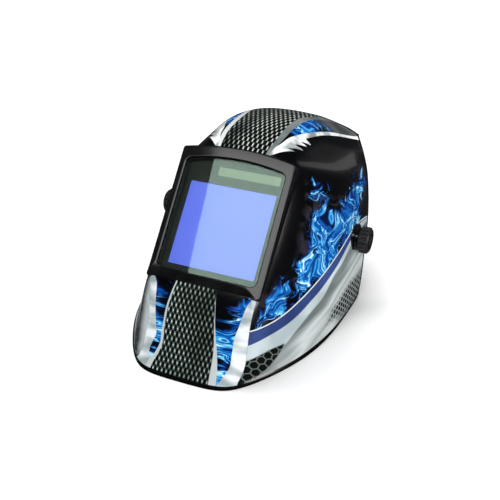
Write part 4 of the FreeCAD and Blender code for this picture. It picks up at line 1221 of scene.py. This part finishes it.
def camera_axes():
    right = Vector((math.cos(AZIMUTH), math.sin(AZIMUTH), 0.0))
    back = Vector((math.sin(AZIMUTH) * math.cos(ELEVATION), -math.cos(AZIMUTH) * math.cos(ELEVATION),
                   math.sin(ELEVATION)))
    return right, back.cross(right), back


def build_camera():
    right, up, back = camera_axes()
    data = bpy.data.cameras.new("camera")
    data.sensor_width = 36.0
    data.lens = LENS
    data.clip_start = 0.05
    data.clip_end = 20.0
    camera = add_object("camera", data)
    aim = Vector(GLASS_CENTRE * MM) + right * AIM_RIGHT + up * AIM_UP
    turn = Matrix((right, up, back)).transposed().to_4x4()
    camera.matrix_world = Matrix.Translation(aim + back * DISTANCE) @ turn
    bpy.context.scene.camera = camera
    return camera


FLOOR_HALF = 4.0
FLOOR_DROP = 0.0004         # keeps the floor clear of the rim that rests on it


def build_floor():
    mesh = bpy.data.meshes.new("floor")
    corners = [(x * FLOOR_HALF, y * FLOOR_HALF, 0) for x, y in ((-1, -1), (1, -1), (1, 1), (-1, 1))]
    mesh.from_pydata(corners, [], [(0, 1, 2, 3)])
    material, tree, shader = surface("floor_paper", 0.9, specular=0.1)
    shader.inputs["Base Color"].default_value = (0.93, 0.93, 0.93, 1)
    mesh.materials.append(material)
    floor = add_object("floor", mesh)
    floor.location.z = -FLOOR_DROP
    floor.visible_glossy = False


def area_light(name, place, aim, width, height, watts, reflected):
    data = bpy.data.lights.new(name, "AREA")
    data.shape = "RECTANGLE"
    data.size = width
    data.size_y = height
    data.energy = watts
    light = add_object(name, data)
    light.location = place
    light.rotation_mode = "QUATERNION"
    light.rotation_quaternion = (Vector(aim) - Vector(place)).to_track_quat("-Z", "Y")
    light.visible_glossy = reflected


PANEL_AWAY = 1.5            # metres from the lens to the panel that it reflects
PANEL_EDGE_TOP = -28.5      # x on the lens where the reflected panel begins, top and bottom
PANEL_EDGE_BOTTOM = -20.0
PANEL_WIDTH = 1.5
PANEL_GLOW = 3.1
RIBBON_AWAY = 1.2
RIBBON_GLOW = 0.8
WORLD_COLOUR = (0.9, 0.94, 1.0, 1)
WORLD_STRENGTH = 0.05


def mirrored_place(camera, spot, normal, away):
    """The place, away metres off, that the camera sees reflected at a spot of the surface."""
    point = Vector(to_object(spot))
    ray = (point - camera.matrix_world.translation).normalized()
    return point + (ray - 2 * ray.dot(normal) * normal) * away


def glowing_panel(name, points, faces, glow):
    """A light that only reflections show."""
    mesh = bpy.data.meshes.new(name)
    mesh.from_pydata([tuple(p) for p in points], [], faces)
    material, tree = bare_material(name + "_glow")
    lamp = tree.nodes.new("ShaderNodeEmission")
    lamp.inputs["Strength"].default_value = glow
    tree.links.new(lamp.outputs[0], tree.nodes["Material Output"].inputs["Surface"])
    mesh.materials.append(material)
    panel = add_object(name, mesh)
    panel.visible_camera = False
    panel.visible_diffuse = False
    panel.visible_shadow = False


def lens_panel(camera):
    """A panel whose reflection in the flat lens begins along one slanting line."""
    normal = Vector(-BACK)
    corners = [mirrored_place(camera, (x, LENS_FACE, z), normal, PANEL_AWAY)
               for x, z in ((PANEL_EDGE_TOP, 90.0), (PANEL_EDGE_BOTTOM, -64.0))]
    middle = mirrored_place(camera, (30.0, LENS_FACE, 10.0), normal, PANEL_AWAY)
    sideways = (middle - (corners[0] + corners[1]) / 2).normalized() * PANEL_WIDTH
    points = [corners[0], corners[1], corners[1] + sideways, corners[0] + sideways]
    glowing_panel("lens_panel", points, [(0, 1, 2, 3)], PANEL_GLOW)


def temple_ribbon(camera):
    """A long strip of light, seen as the grey band along the temple's crease."""
    points, normals, _ = skin_grid()
    points = points.reshape(-1, 3)
    normals = normals.reshape(-1, 3)
    spots = [((57, 10, 90), (61, 14, 86)), ((68, 34, 100), (71, 32, 93)),
             ((80, 67, 112), (83, 66, 103)), ((93, 116, 131), (94, 113, 126))]
    ribbon = []
    for pair in spots:
        for spot in pair:
            nearest = np.argmin(np.linalg.norm(points - np.array(spot), axis=1))
            worn = normals[nearest]
            normal = Vector(np.array([worn[0], 0, 0]) + worn[1] * BACK + worn[2] * UP)
            ribbon.append(mirrored_place(camera, points[nearest], normal, RIBBON_AWAY))
    faces = [(2 * k, 2 * k + 1, 2 * k + 3, 2 * k + 2) for k in range(len(spots) - 1)]
    glowing_panel("temple_ribbon", ribbon, faces, RIBBON_GLOW)


def build_studio():
    camera = build_camera()
    build_floor()
    area_light("overhead", (-0.7, 0.55, 2.1), (0, 0, 0.05), 1.4, 1.4, 52, False)
    area_light("key", (0.5, -2.4, 1.5), (0, 0, 0.1), 1.4, 1.4, 44, False)
    area_light("right_fill", (2.2, -0.4, 0.9), (0, 0, 0.1), 0.9, 1.3, 28, True)
    area_light("rear_fill", (-0.5, 2.2, 0.8), (0, 0.1, 0.1), 1.0, 1.0, 20, False)
    lens_panel(camera)
    temple_ribbon(camera)
    world = bpy.data.worlds.new("studio")
    world.use_nodes = True
    background = world.node_tree.nodes["Background"]
    background.inputs["Color"].default_value = WORLD_COLOUR
    background.inputs["Strength"].default_value = WORLD_STRENGTH
    bpy.context.scene.world = world
    bpy.context.scene.view_settings.view_transform = "Standard"


MATERIALS = dress_nodes()
build_shell()
build_pads(MATERIALS["sweat_fabric"])
build_studio()
